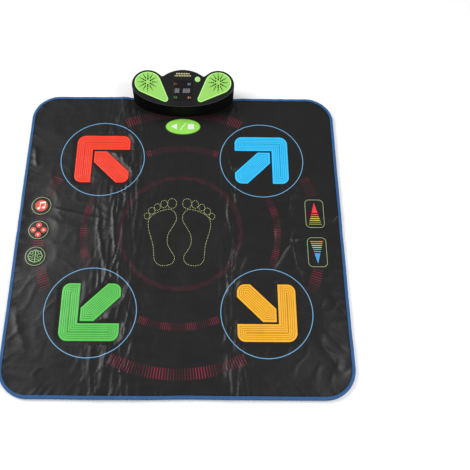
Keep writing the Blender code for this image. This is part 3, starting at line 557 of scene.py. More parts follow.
def ink_on(made, inks, thickness, sunk):
    """The marked faces of a plate as a thin closed film of ink over it: points, faces and ink numbers."""
    chosen = np.isin(made.marks, inks)
    triangles, marks = made.tops[chosen], made.marks[chosen]
    used, numbers = np.unique(triangles, return_inverse=True)
    triangles = numbers.reshape(-1, 3)
    points = made.points[used]
    upper = points + (0.0, 0.0, thickness)
    lower = points - (0.0, 0.0, sunk)
    count = len(points)
    edges = border(triangles)
    walls = [(a + count, b + count, b, a) for a, b in edges]
    faces = [tuple(t) for t in triangles] + [tuple(t[::-1] + count) for t in triangles] + walls
    order = {ink: number for number, ink in enumerate(inks)}
    slots = [order[m] for m in marks] * 2 + [0] * len(walls)
    return np.vstack([upper, lower]), faces, slots


def loft(rings):
    """A closed solid through rings of points with equal counts, anticlockwise from above and upwards."""
    count = len(rings[0])
    points = [tuple(p) for ring in rings for p in ring]
    faces = [tuple(range(count))[::-1], tuple(range(len(points) - count, len(points)))]
    for k in range(len(rings) - 1):
        for a in range(count):
            b = (a + 1) % count
            faces.append((k * count + a, k * count + b, (k + 1) * count + b, (k + 1) * count + a))
    return points, faces


def prism(outlines):
    """A closed solid through outlines of equal counts at their heights, (outline, z) from the lowest."""
    return loft([[(x, y, z) for x, y in outline] for outline, z in outlines])


def joined(solids):
    """The points and the faces of several closed solids as those of one mesh."""
    points, faces = [], []
    for more, around in solids:
        faces += [tuple(n + len(points) for n in face) for face in around]
        points += more
    return points, faces


def solid(name, points, faces, place=None):
    """An object from points and faces that rides on nothing yet."""
    mesh = bpy.data.meshes.new(name)
    mesh.from_pydata([tuple(map(float, p)) for p in points], [], [tuple(map(int, f)) for f in faces])
    if place is not None:
        mesh.transform(place)
    mesh.validate()
    piece = bpy.data.objects.new(name, mesh)
    bpy.context.scene.collection.objects.link(piece)
    return piece


def rod(name, outline, low, high, place=None):
    """An upright bar with one outline, for cutting."""
    return solid(name, *prism([(outline, low), (outline, high)]), place=place)


def block(name, low, high):
    """A plain box, for cutting."""
    centre = [(a + b) / 2 for a, b in zip(low, high)]
    half = [(b - a) / 2 for a, b in zip(low, high)]
    return rod(name, rectangle(centre[:2], half[:2]), low[2], high[2])


def carve(piece, *tools):
    """Cuts tools out of a piece, and removes them."""
    for tool in tools:
        cutting = piece.modifiers.new(tool.name, "BOOLEAN")
        cutting.object = tool
        cutting.operation = "DIFFERENCE"
        cutting.solver = "EXACT"
    bpy.context.view_layer.update()
    shaped = bpy.data.meshes.new_from_object(piece.evaluated_get(bpy.context.evaluated_depsgraph_get()))
    piece.modifiers.clear()
    plain = piece.data
    piece.data = shaped
    bpy.data.meshes.remove(plain)
    shaped.name = piece.name
    for tool in tools:
        bpy.data.objects.remove(tool)
    return piece


def make(name, points, faces, finishes, body, slots=None, slot=None, replaces=None, sharp=40.0,
         place=None):
    """One piece from points and faces, finished and riding on its body."""
    piece = solid(name, points, faces, place)
    if slots is not None:
        piece.data.polygons.foreach_set("material_index", np.array(slots, np.int32))
    return settle(piece, finishes, body, replaces, sharp)


def make_plate(name, made, finishes, body, mark=None, **settings):
    """One piece from a plate. The second finish goes on the faces of its top that have a mark."""
    faces = [tuple(t) for t in made.tops] + made.others
    slots = None
    if mark is not None:
        slots = [int(m == mark) for m in made.marks] + [0] * len(made.others)
    return make(name, made.points, faces, finishes, body, slots=slots, **settings)


def make_print(name, made, inks, thickness, finishes, body, slot, sunk=0.05 * MM, place=None):
    """One piece from the films of ink on a plate."""
    points, faces, slots = ink_on(made, inks, thickness, sunk)
    return make(name, points, faces, finishes, body, slots=slots, slot=slot, place=place)


def settle(piece, finishes, body, replaces=None, sharp=40.0):
    """Gives a piece its finishes and smooth shading, and the CAD body that it rides on."""
    for one in finishes:
        piece.data.materials.append(one)
    piece.data.shade_smooth()
    piece.data.set_sharp_from_angle(angle=math.radians(sharp))
    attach(piece, body)
    if replaces:
        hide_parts(replaces)
    return piece


# The lie of the top sheet

FLAT_ROUND_ARROWS = 14 * MM
FLAT_ROUND_SMALL_PADS = 30 * MM
FLAT_ROUND_CONSOLE = 12 * MM

# A fold that the mat was packed with: whether it runs along Y, its place across, how far it reaches to
# each side, the height of its crumples and that of its swell
FOLDS = (
    (True, -0.172, 0.056, 3.2 * MM, 0.9 * MM),
    (True, 0.146, 0.032, 2.9 * MM, 0.6 * MM),
    (False, 0.024, 0.016, 0.9 * MM, 0.4 * MM),
)

# How much more the mat's right-hand side is crumpled than the rest
RIGHT_CRUMPLE = 0.6

# Single creases, in millimetres: x and y of both ends, half width and height
CREASES = (
    (-452, 100, -230, 40, 4, 1.6), (-445, 270, -425, 215, 6, 2.4), (-452, -20, -415, -10, 4, 1.8),
    (-240, 60, -205, -110, 5, 2.2), (-195, 110, -180, -60, 4, 2.6), (130, 110, 152, -20, 4, 2.6),
    (162, -20, 128, -210, 4, 2.8), (178, -60, 150, -200, 4, 2), (334, 160, 318, 60, 4, 3.4),
    (262, 330, 300, 130, 5, 2.6), (296, 250, 322, 120, 4, 2.4), (312, 20, 335, -120, 4, 3.6),
    (322, -10, 262, -105, 4, 3), (280, 60, 272, -70, 4, 2.6), (455, 75, 420, 20, 5, 2.6),
    (372, -250, 440, -330, 10, 3), (360, -290, 430, -390, 12, 3), (400, -160, 448, -230, 9, 2.4),
    (-230, -330, -215, -440, 7, 2), (128, -350, 140, -445, 6, 2.4), (-440, -240, -395, -330, 10, 2),
    (-180, 440, -195, 360, 6, 2.2), (185, 445, 190, 330, 5, 2), (300, 445, 308, 370, 6, 1.8),
)


def smooth_step(value):
    """From 0 to 1 as value goes from 0 to 1, level at both ends."""
    value = np.clip(value, 0.0, 1.0)
    return value * value * (3.0 - 2.0 * value)


def noise(x, y, size, seed):
    """Smooth seeded noise from -1 to 1 with features of about one size."""
    lattice = np.random.default_rng(seed).uniform(-1.0, 1.0, (97, 97))
    turn = seed * 1.7
    u = (x * math.cos(turn) - y * math.sin(turn)) / size + 60.0
    v = (x * math.sin(turn) + y * math.cos(turn)) / size + 60.0
    column, row = np.floor(u).astype(int), np.floor(v).astype(int)
    a, b = smooth_step(u - column), smooth_step(v - row)

    def at(i, j):
        return lattice[(column + i) % 97, (row + j) % 97]

    low = at(0, 0) * (1 - a) + at(1, 0) * a
    high = at(0, 1) * (1 - a) + at(1, 1) * a
    return low * (1 - b) + high * b


def ridges(x, y, size, seed):
    """Rounded crests with level ground between them, from 0 to 1."""
    bent_x = x + 0.35 * size * noise(x, y, 1.3 * size, seed + 50)
    bent_y = y + 0.35 * size * noise(x, y, 1.3 * size, seed + 51)
    return smooth_step(1.0 - 2.2 * np.abs(noise(bent_x, bent_y, size, seed)))


def edge_reach(x, y):
    """How far each place is inside the mat's edge, and the way out from it."""
    over_x = np.abs(x) - (MAT_WIDTH / 2 - MAT_CORNER)
    over_y = np.abs(y) - (MAT_DEPTH / 2 - MAT_CORNER)
    corner = np.hypot(np.maximum(over_x, 0.0), np.maximum(over_y, 0.0))
    inside = np.where(corner > 0, corner, np.maximum(over_x, over_y))
    safe = np.maximum(corner, 1e-9)
    way_x = np.maximum(over_x, 0.0) / safe * np.sign(x)
    way_y = np.maximum(over_y, 0.0) / safe * np.sign(y)
    return MAT_CORNER - inside, way_x, way_y


def pushed_out(points):
    """Points near the mat's edge, shifted as its edge wanders out and in."""
    x, y = points[:, 0], points[:, 1]
    distance, way_x, way_y = edge_reach(x, y)
    round_the_edge = 0.55 * np.arctan2(y, x)
    wander = 0.9 * MM + 1.1 * MM * noise(round_the_edge, 0 * x, 0.13, 7)
    wander = wander * smooth_step(1.0 - distance / 0.025)
    shifted = points.copy()
    shifted[:, 0] += way_x * wander
    shifted[:, 1] += way_y * wander
    return shifted


def fold_rise(x, y):
    """The part of the sheet's rise that its packing folds give."""
    rise = np.zeros(np.shape(x))
    for upright, place, reach, crumple, swell in FOLDS:
        across, along = (x, y) if upright else (y, x)
        across = across - place - 0.010 * noise(along, 0 * along, 0.16, 4)
        band = np.exp(-(across / reach) ** 2)
        strength = 0.70 + 0.30 * noise(along, 0 * along, 0.11, 5)
        fine = ridges(across, along / 5.0, 0.018, 6) + 0.55 * ridges(across, along / 4.0, 0.010, 8)
        rise = rise + band * (swell + crumple * strength * fine)
    return rise


def sheet_rise(x, y):
    """How far the top sheet stands above its flat height at each place."""
    distance, way_x, way_y = edge_reach(x, y)
    held = np.maximum(TAPE_WIDTH + 1 * MM - distance, 0.0)
    x, y = x - way_x * held, y - way_y * held
    rise = 0.5 * MM * (1 + noise(x, y, 0.17, 1)) + 0.25 * MM * (1 + noise(x, y, 0.07, 2))
    crumpled = 1.0 + RIGHT_CRUMPLE * smooth_step((x - 0.12) / 0.12)
    rise = rise + crumpled * (0.45 * MM * ridges(x, y, 0.045, 3) + 0.6 * MM * ridges(x, y, 0.110, 12))
    rise = rise + fold_rise(x, y)
    for x0, y0, x1, y1, half_width, height in np.array(CREASES) * MM:
        length = math.hypot(x1 - x0, y1 - y0)
        ahead_x, ahead_y = (x1 - x0) / length, (y1 - y0) / length
        along = (x - x0) * ahead_x + (y - y0) * ahead_y
        across = (y - y0) * ahead_x - (x - x0) * ahead_y + 0.006 * noise(along, 0 * along, 0.05, 9)
        ends = np.clip(np.minimum(along, length - along) / (0.4 * length) + 0.5, 0.0, 1.0)
        rise = rise + height * smooth_step(ends) / (1 + (across / half_width) ** 2)
    round_the_edge = 0.55 * np.arctan2(y, x)
    puckers = ridges(round_the_edge, 0 * x, 0.024, 10) + 0.5 * (1 + noise(round_the_edge, 0 * x, 0.05, 11))
    rise = rise + 0.7 * MM * puckers * np.exp(-np.maximum(distance - TAPE_WIDTH, 0.0) / 0.016)
    return rise * level_ground(x, y)


def level_ground(x, y):
    """0 beside the raised pads and under the console, where the sheet lies flat, and 1 away from them."""
    free = np.ones(np.shape(x))
    for colour in ARROWS:
        for shape in (arrow_head(PAD_GAP), arrow_shaft(PAD_GAP)):
            free = np.minimum(free, distance_to(place_arrow(shape, colour), x, y) / FLAT_ROUND_ARROWS)
    for name in SMALL_PADS:
        free = np.minimum(free, distance_to(small_pad(name, PAD_GAP), x, y) / FLAT_ROUND_SMALL_PADS)
    depth = np.where(y > CONSOLE_MIDDLE_Y, 0.0, (y - CONSOLE_MIDDLE_Y) / (CONSOLE_MIDDLE_Y - CONSOLE_FRONT_Y))
    console = (np.hypot(x / CONSOLE_HALF_WIDTH, depth) - 1.0) * 0.065
    return smooth_step(np.minimum(free, console / FLAT_ROUND_CONSOLE))


# Prints on the top sheet

CIRCLE_RADIUS = 0.1235
CIRCLE_LINE = 2.1 * MM
PRINT_CENTRE = (0.0, 0.002)
CLEAR_OF_PRINTS = 4 * MM

# Rings of short bars: inner and outer radius, groups of bars, bars in a group and a bar's width. In each
# group the bars fade from its middle, and a middle lies at BRIGHT_ANGLE
TICK_RINGS = ((0.3835, 0.4135, 23, 15, 2.0 * MM), (0.2640, 0.2840, 26, 12, 1.7 * MM))
BRIGHT_ANGLE = 263.0
FADE = (0.15, 0.27, 0.38)
BETWEEN_VOLUME_PADS = (0.34, 0.03)
BESIDE_CIRCLES = 0.34

# The soft ring: its radius, dashes, their length in degrees, width and lean
SOFT_RING = 0.1705
SOFT_CENTRE = (0.0, 0.0045)
SOFT_DASHES = 24
SOFT_LENGTH = (18.0, 23.0)
SOFT_WIDTH = 17.0 * MM
SOFT_CORE = 9.0 * MM
SOFT_LEAN = 3.2 * MM

# The left footprint, on the mat, from its little toe's side: the sole's line and the toes' places and sizes
SOLE = ((-0.0898, 0.0330), (-0.0848, 0.0468), (-0.0718, 0.0590), (-0.0500, 0.0692), (-0.0272, 0.0725),
        (-0.0125, 0.0575), (-0.0110, 0.0380), (-0.0222, 0.0145), (-0.0330, -0.0075), (-0.0338, -0.0330),
        (-0.0246, -0.0530), (-0.0134, -0.0720), (-0.0172, -0.0897), (-0.0342, -0.0985), (-0.0555, -0.0970),
        (-0.0680, -0.0835), (-0.0712, -0.0632), (-0.0738, -0.0400), (-0.0813, -0.0130), (-0.0883, 0.0110))
TOES = ((-0.0238, 0.0918, 0.0130, 0.0157), (-0.0468, 0.0893, 0.0097, 0.0122),
        (-0.0660, 0.0798, 0.0087, 0.0108), (-0.0818, 0.0676, 0.0094, 0.0106),
        (-0.0945, 0.0515, 0.0078, 0.0098))
FEET_X = -2.4 * MM

# How much the right footprint leans to the left above its heel
RIGHT_LEAN = 0.024
HEEL_Y = -0.085

# The dashes of the footprints' lines
DASH_PITCH = 4.8 * MM
DASH_LENGTH = 1.7 * MM
DASH_WIDTH = 1.4 * MM

# The inks of the top sheet's prints, whose numbers the prints' shapes carry. The last one is no print but
# painted shade, the vinyl darkened
SHEET_INKS = ("circle_ink", "ring_ink_bright", "ring_ink", "ring_ink_dim", "ring_ink_faint", "soft_ink",
              "soft_ink_core", "foot_ink", "weld_ink")
INK_STRENGTHS = {"ring_ink_bright": 0.66, "ring_ink": 0.40, "ring_ink_dim": 0.22, "ring_ink_faint": 0.10,
                 "soft_ink": 0.030, "soft_ink_core": 0.050}
SHEET_PRINTS = {"arrow_circles": (0,), "ring_bars": (1, 2, 3, 4), "soft_ring": (5, 6), "footprints": (7,),
                "weld_lines": (8,)}
# Widths of the painted shade: a dark band round each arrow pad, and one along the tape's inner edge
PAD_SHADE_WIDTH = 2.2 * MM
TAPE_SHADE_WIDTH = 2.8 * MM


def covered(x, y):
    """Whether a place is in an arrow's circle or beside a small pad, where no ring is printed."""
    if any(math.dist((x, y), centre) < CIRCLE_RADIUS + CLEAR_OF_PRINTS for centre, _, _ in ARROWS.values()):
        return True
    for centre, half, corner in SMALL_PADS.values():
        across = abs(x - centre[0]) / (half[0] + CLEAR_OF_PRINTS / 2)
        along = abs(y - centre[1]) / (half[1] + CLEAR_OF_PRINTS / 2)
        if (math.hypot(across, along) if corner is None else max(across, along)) < 1.0:
            return True
    return x > BETWEEN_VOLUME_PADS[0] and abs(y) < BETWEEN_VOLUME_PADS[1]


def ring_marks():
    """The rings of short bars, in groups that fade at both ends."""
    marks = []
    for inner, outer, groups, bars, width in TICK_RINGS:
        for number in range(groups * bars):
            angle = 360.0 * (number + 0.5) / (groups * bars)
            from_middle = abs((angle - BRIGHT_ANGLE) * groups / 360.0 % 1.0 - 0.5)
            ink = 1 + sum(0.5 - from_middle > step for step in FADE)
            ahead = Vector((math.cos(math.radians(angle)), math.sin(math.radians(angle))))
            ends = [Vector(PRINT_CENTRE) + ahead * radius for radius in (inner, outer)]
            if any(covered(*end) for end in ends) or ends[0].y > CONSOLE_FRONT_Y + 4 * MM:
                continue
            # Bars at the top, in front of the console, take the faintest ink as painted shade of the console,
            # and those beside the circles the middle ink. Elsewhere bars in the upper part, at the sides and
            # in the inner ring take ink one step dimmer
            if ahead.y > 0.9:
                ink = 2 if abs(ahead.x) > BESIDE_CIRCLES else 4
            elif ahead.y > -0.3 or abs(ahead.x) > BESIDE_CIRCLES or groups > 23:
                ink = min(ink + 1, 4)
            line = [tuple(ends[0].lerp(ends[1], share)) for share in np.linspace(0.0, 1.0, 9)]
            marks.append((strip(line, width), ink))
    return marks


def soft_marks():
    """The soft inner ring of leaning dashes that narrow to their ends, each with a brighter core."""
    soft, cores = [], []
    chance = np.random.default_rng(21)
    for number in range(SOFT_DASHES):
        start = 360.0 * number / SOFT_DASHES + chance.uniform(0.0, 2.0)
        angles = np.linspace(start, start + chance.uniform(*SOFT_LENGTH), 15)
        radii = np.linspace(SOFT_RING - SOFT_LEAN, SOFT_RING + SOFT_LEAN, 15)
        line = [(SOFT_CENTRE[0] + r * math.cos(math.radians(a)),
                 SOFT_CENTRE[1] + r * math.sin(math.radians(a))) for a, r in zip(angles, radii)]
        if any(covered(*p) for p in line):
            continue
        share = chance.uniform(0.8, 1.1)
        soft.append((lens(line, SOFT_WIDTH * share), 5))
        cores.append((lens(line[2:-2], SOFT_CORE * share), 6))
    return soft + cores


def foot_marks():
    """The dashed outlines of two footprints."""
    lines = [curved(SOLE, DASH_PITCH / 4)]
    lines += [evenly(ellipse((x, y), (w, d), 60), DASH_PITCH / 4) for x, y, w, d in TOES]
    marks = []
    for line in lines:
        count = len(line) // 4
        line = evenly(line, perimeter(line) / (count * 4))
        for number in range(count):
            start, middle, end = (Vector(line[(number * 4 + k) % len(line)]) for k in (0, 1, 2))
            ahead = (end - start).normalized() * DASH_LENGTH / 2
            dash = [tuple(middle - ahead), tuple(middle), tuple(middle + ahead)]
            for side in (1, -1):
                lean = RIGHT_LEAN if side < 0 else 0.0
                placed = [(side * x + FEET_X - lean * (y - HEEL_Y), y) for x, y in dash]
                marks.append((strip(placed, DASH_WIDTH), 7))
    return marks


def sheet_shapes():
    """The top sheet's windows, prints and bands of painted shade, in the order that they lie over each other.
    """
    # A band of painted shade from under the tape to just beside its inner edge
    shapes = [(evenly(mat_outline(TAPE_WIDTH - 1 * MM), 4 * MM), 8),
              (evenly(mat_outline(TAPE_WIDTH + TAPE_SHADE_WIDTH), 4 * MM), BARE)]
    for centre, _, _ in ARROWS.values():
        for half_line, ink in ((CIRCLE_LINE / 2, 0), (-CIRCLE_LINE / 2, BARE)):
            shapes.append((circle(centre, CIRCLE_RADIUS + half_line, 220), ink))
    shapes += ring_marks() + soft_marks() + foot_marks()
    for colour in ARROWS:
        for part in (arrow_head, arrow_shaft):
            # A band of painted shade round each arrow pad, then the pad's window
            shapes.append((place_arrow(part(PAD_GAP + PAD_SHADE_WIDTH), colour), 8))
            shapes.append((place_arrow(part(PAD_GAP), colour), HOLE))
    for name in SMALL_PADS:
        shapes.append((small_pad(name, PAD_GAP), HOLE))
    return shapes + [(loop, HOLE) for loop in screw_holes() + [ribbon_slot()]]


def screw_holes():
    """The holes through a layer for the screws that hold the console."""
    return [circle(place, SCREW_HOLE, 12) for place in FRONT_POSTS]


def ribbon_slot():
    """The slot through a layer for the films' tail."""
    return rectangle((0.0, RIBBON_Y), RIBBON_SLOT)


# Finishes

def shade(red, green, blue):
    """A colour given as it looks on a screen, from 0 to 255, as Blender's shaders take it."""
    return tuple(((c / 255 + 0.055) / 1.055) ** 2.4 if c > 10 else c / 255 / 12.92
                 for c in (red, green, blue))


def add(tree, kind, inputs=None, **settings):
    """A node with its settings. Each input is a value, or another node's output to link."""
    node = tree.nodes.new("ShaderNode" + kind)
    for name, value in settings.items():
        setattr(node, name, value)
    for socket, value in (inputs or {}).items():
        if isinstance(value, bpy.types.NodeSocket):
            tree.links.new(value, node.inputs[socket])
        else:
            node.inputs[socket].default_value = value
    return node


def maths(tree, operation, *values):
    """The result of a calculation with values or other nodes' outputs."""
    return add(tree, "Math", dict(enumerate(values)), operation=operation).outputs[0]


def patches(tree, place, size, detail, roughness):
    """Noise from 0 to 1 with features of a given size."""
    sockets = {"Vector": place, "Scale": maths(tree, "DIVIDE", 1.0, size), "Detail": detail,
               "Roughness": roughness}
    return add(tree, "TexNoise", sockets).outputs["Fac"]


def shared_group(name, inputs, result, fill):
    """A shader node group with named sockets, made once. fill adds its nodes and returns what it gives."""
    if name in bpy.data.node_groups:
        return bpy.data.node_groups[name]
    group = bpy.data.node_groups.new(name, "ShaderNodeTree")
    for socket, kind, default in [("Place", "Vector", None), *inputs]:
        made = group.interface.new_socket(socket, in_out="INPUT", socket_type="NodeSocket" + kind)
        if default is not None:
            made.default_value = default
    group.interface.new_socket(result[0], in_out="OUTPUT", socket_type="NodeSocket" + result[1])
    given = group.nodes.new("NodeGroupInput").outputs
    group.links.new(fill(group, given), group.nodes.new("NodeGroupOutput").inputs[0])
    return group


def grain_group():
    """Fine irregular relief of a moulded, cast or woven surface."""
    def fill(group, given):
        return patches(group, given["Place"], given["Size"], 2.0, 0.6)

    return shared_group("fine grain", [("Size", "Float", 0.001)], ("Height", "Float"), fill)


def drift_group():
    """A colour that drifts a little lighter and darker over a surface."""
    def fill(group, given):
        centred = maths(group, "SUBTRACT", patches(group, given["Place"], given["Size"], 3.0, 0.65), 0.5)
        swing = maths(group, "MULTIPLY", centred, given["Amount"])
        factor = maths(group, "MULTIPLY_ADD", swing, 4.0, 1.0)
        tinted = add(group, "VectorMath", {0: given["Colour"], "Scale": factor}, operation="SCALE")
        return tinted.outputs["Vector"]

    return shared_group("colour drift", [("Size", "Float", 0.03), ("Colour", "Color", None),
                                         ("Amount", "Float", 0.1)], ("Colour", "Color"), fill)


def scuff_group():
    """Roughness that handling has varied, in smudges and fine streaks."""
    def fill(group, given):
        drawn = add(group, "VectorMath", {0: given["Place"], 1: (1.0, 5.0, 1.0)}, operation="MULTIPLY")
        smudges = patches(group, given["Place"], given["Size"], 4.0, 0.6)
        streaks = patches(group, drawn.outputs["Vector"], given["Size"], 6.0, 0.7)
        centred = maths(group, "SUBTRACT", maths(group, "ADD", smudges, streaks), 1.0)
        swing = maths(group, "MULTIPLY", centred, given["Amount"])
        return maths(group, "MULTIPLY_ADD", swing, 2.0, given["Roughness"])

    return shared_group("handling marks", [("Size", "Float", 0.05), ("Roughness", "Float", 0.5),
                                           ("Amount", "Float", 0.1)], ("Roughness", "Float"), fill)


# The size of the crumples that a soft finish shows under its grain
CRUMPLE_SIZE = 22 * MM


def finish(name, colour, roughness, drift=0.10, drift_size=0.03, scuff=0.06, scuff_size=0.05, grain=0.8 * MM,
           relief=0.0, metallic=0.0, gloss=0.5, glow=0.0, weave=None, crumple=0.0):
    """A material from the shared groups: colour drift, handling marks and grain, each with its own values."""
    if name in bpy.data.materials:
        return bpy.data.materials[name]
    material = bpy.data.materials.new(name)
    material.use_nodes = True
    tree = material.node_tree
    shader = tree.nodes["Principled BSDF"]
    place = add(tree, "TexCoord").outputs["Object"]

    def shared(group, **inputs):
        return add(tree, "Group", {"Place": place, **inputs}, node_tree=group).outputs[0]

    def relief_of(height, depth, under=None):
        inputs = {"Height": height, "Distance": depth, "Strength": 1.0}
        if under is not None:
            inputs["Normal"] = under
        return add(tree, "Bump", inputs).outputs["Normal"]

    tint = shared(drift_group(), Size=drift_size, Colour=(*colour, 1.0), Amount=drift)
    tree.links.new(tint, shader.inputs["Base Color"])
    tree.links.new(shared(scuff_group(), Size=scuff_size, Roughness=roughness, Amount=scuff),
                   shader.inputs["Roughness"])
    if glow:
        tree.links.new(tint, shader.inputs["Emission Color"])
        shader.inputs["Emission Strength"].default_value = glow
    shader.inputs["Metallic"].default_value = metallic
    shader.inputs["Specular IOR Level"].default_value = gloss
    if relief or weave:
        height = weave_height(tree, *weave[:2]) if weave else shared(grain_group(), Size=grain)
        under = relief_of(shared(grain_group(), Size=CRUMPLE_SIZE), crumple) if crumple else None
        tree.links.new(relief_of(height, relief or weave[2], under), shader.inputs["Normal"])
    return material


def weave_height(tree, along, across):
    """The relief of a woven tape with a pitch along it and one across it."""
    uv = add(tree, "UVMap", uv_map="tape").outputs["UV"]
    parts = add(tree, "SeparateXYZ", {"Vector": uv})
    waves = []
    for socket, pitch in (("X", along), ("Y", across)):
        turn = maths(tree, "MULTIPLY", parts.outputs[socket], 2 * math.pi / pitch)
        waves.append(maths(tree, "SINE", turn))
    return maths(tree, "MULTIPLY_ADD", maths(tree, "MULTIPLY", *waves), 0.5, 0.5)


# What a user would change

def colour_setting(name, description, default):
    """A colour that a user would change."""
    return FloatVectorProperty(name=name, description=description, subtype="COLOR", default=default,
                               min=0.0, max=1.0)


def number_setting(name, description, default, low, high, **kind):
    """A number that a user would change, with its least and greatest value."""
    return FloatProperty(name=name, description=description, default=default, min=low, max=high, **kind)


class MatSettings(bpy.types.PropertyGroup):
    """Sizes and colours of the mat's sheets, tape and prints."""

    sheet_step: number_setting("Sheet detail", "Spacing of the top sheet's points", 3.2 * MM, 2.5 * MM, 0.02,
                               unit="LENGTH", precision=4)
    vinyl: colour_setting("Vinyl", "Colour of the top sheet", shade(23, 23, 24))
    vinyl_roughness: number_setting("Vinyl roughness", "Roughness of the top sheet", 0.34, 0.0, 1.0,
                                    subtype="FACTOR")
    tape: colour_setting("Tape", "Colour of the binding tape", shade(32, 84, 136))
    circle_ink: colour_setting("Circles", "Colour of the circles round the arrows", shade(108, 162, 202))
    ring_ink: colour_setting("Rings", "Colour of the rings of bars", shade(176, 38, 72))
    foot_ink: colour_setting("Footprints", "Colour of the footprints' dashes", shade(212, 226, 150))


class PadSettings(bpy.types.PropertyGroup):
    """Colours of the pads and the depth of their contour lines."""

    red: colour_setting("Red arrow", "Colour of the red arrow", shade(240, 58, 34))
    blue: colour_setting("Blue arrow", "Colour of the blue arrow", shade(44, 186, 242))
    green: colour_setting("Green arrow", "Colour of the green arrow", shade(84, 188, 78))
    yellow: colour_setting("Yellow arrow", "Colour of the yellow arrow", shade(236, 170, 34))
    lime: colour_setting("Play pad", "Colour of the play and stop pad", shade(140, 212, 78))
    line: colour_setting("Icon lines", "Colour of the lines round the small pads", shade(168, 188, 132))
    groove: number_setting("Contour depth", "Depth of an arrow's contour lines", 0.12 * MM, 0.0, 0.5 * MM,
                           unit="LENGTH", precision=5)
    waviness: number_setting("Waviness", "Height of the waves in an arrow's soft face", 0.42 * MM, 0.0,
                             0.8 * MM, unit="LENGTH", precision=5)


class ConsoleSettings(bpy.types.PropertyGroup):
    """Colours of the console and the light of its digits."""

    shell: colour_setting("Shell", "Colour of the console's housing", shade(18, 18, 19))
    shell_roughness: number_setting("Shell roughness", "Roughness of the console's housing", 0.42, 0.0, 1.0,
                                    subtype="FACTOR")
    grille: colour_setting("Grilles", "Colour of the speaker grilles", shade(144, 204, 96))
    glow: number_setting("Digit glow", "Strength of the display's light", 0.35, 0.0, 10.0)


class StageSettings(bpy.types.PropertyGroup):
    """The floor, the light and the camera."""

    floor: colour_setting("Floor", "Colour of the floor", (0.92, 0.92, 0.92))
    room_light: number_setting("Room light", "Strength of the light from all round", 0.50, 0.0, 4.0)
    key_light: number_setting("Key light", "Power of the large soft light", 70.0, 0.0, 1000.0, unit="POWER")
    fill_light: number_setting("Fill light", "Power of the light on the other side", 26.0, 0.0, 1000.0,
                               unit="POWER")
    lens: number_setting("Lens", "The camera's focal length in millimetres", 45.79, 10.0, 200.0)


# The mat


def ink_finishes(mat):
    """The inks of the top sheet, in the order of SHEET_INKS."""
    finishes = []
    # The last ink is painted shade: the vinyl's own colour darkened, for the bands round the arrow pads and
    # beside the tape
    painted_shade = [c * 0.3 for c in mat.vinyl]
    for name in SHEET_INKS:
        colour = {"circle_ink": mat.circle_ink, "foot_ink": mat.foot_ink}.get(name, painted_shade)
        if name in INK_STRENGTHS:
            strength = INK_STRENGTHS[name]
            colour = [c * strength + v * (1 - strength) for c, v in zip(mat.ring_ink, mat.vinyl)]
        finishes.append(finish(name, colour, 0.38, drift=0.08, drift_size=0.02, scuff=0.08,
                               gloss=0.25))
    return finishes


class DANCEMAT_OT_top_sheet(bpy.types.Operator):
    """Makes the creased vinyl top sheet and its prints"""

    bl_idname = "dance_mat.top_sheet"
    bl_label = "Top sheet and prints"

    def execute(self, context):
        mat = context.scene.dance_mat
        outline = evenly(mat_outline(LAYER_INSET), mat.sheet_step)
        sheet = plate(outline, sheet_shapes(), lambda x, y: SHEET_TOP + sheet_rise(x, y), SHEET_BOTTOM,
                      spacing=mat.sheet_step)
        sheet = sheet._replace(points=pushed_out(sheet.points))
        vinyl = finish("creased_vinyl", mat.vinyl, mat.vinyl_roughness, drift=0.12, drift_size=0.06,
                       scuff=0.12, scuff_size=0.07, grain=0.9 * MM, relief=0.02 * MM, gloss=0.27,
                       crumple=0.40 * MM)
        piece = make_plate("vinyl_top_sheet", sheet, [vinyl], "mat", slot="black_vinyl",
                           replaces="top_sheet")
        inks = ink_finishes(mat)
        printed = [make_print(name, sheet, numbers, 0.06 * MM, [inks[n] for n in numbers], "mat",
                              "black_vinyl") for name, numbers in SHEET_PRINTS.items()]
        return {"FINISHED"}


# The seam of the tape: its place across the tape, as a share of the width, how deep it is drawn in, and its
# stitches' pitch and size. Each of a stitch's sections is a share of its length, its width and its height
SEAM = 0.70
SEAM_DIP = 0.35 * MM
STITCH_PITCH = 3.5 * MM
STITCH_LENGTH = 2.5 * MM
STITCH_WIDTH = 0.84 * MM
STITCH_HEIGHT = 0.36 * MM
STITCH_SECTIONS = ((0.0, 0.5, -0.1), (0.25, 1.0, 0.8), (0.75, 1.0, 0.8), (1.0, 0.5, -0.1))

# The tape's pitch of weave along and across, its depth, and the steps of its points along the edge
WEAVE = (0.9 * MM, 1.1 * MM, 0.08 * MM)
TAPE_STEP = 4 * MM


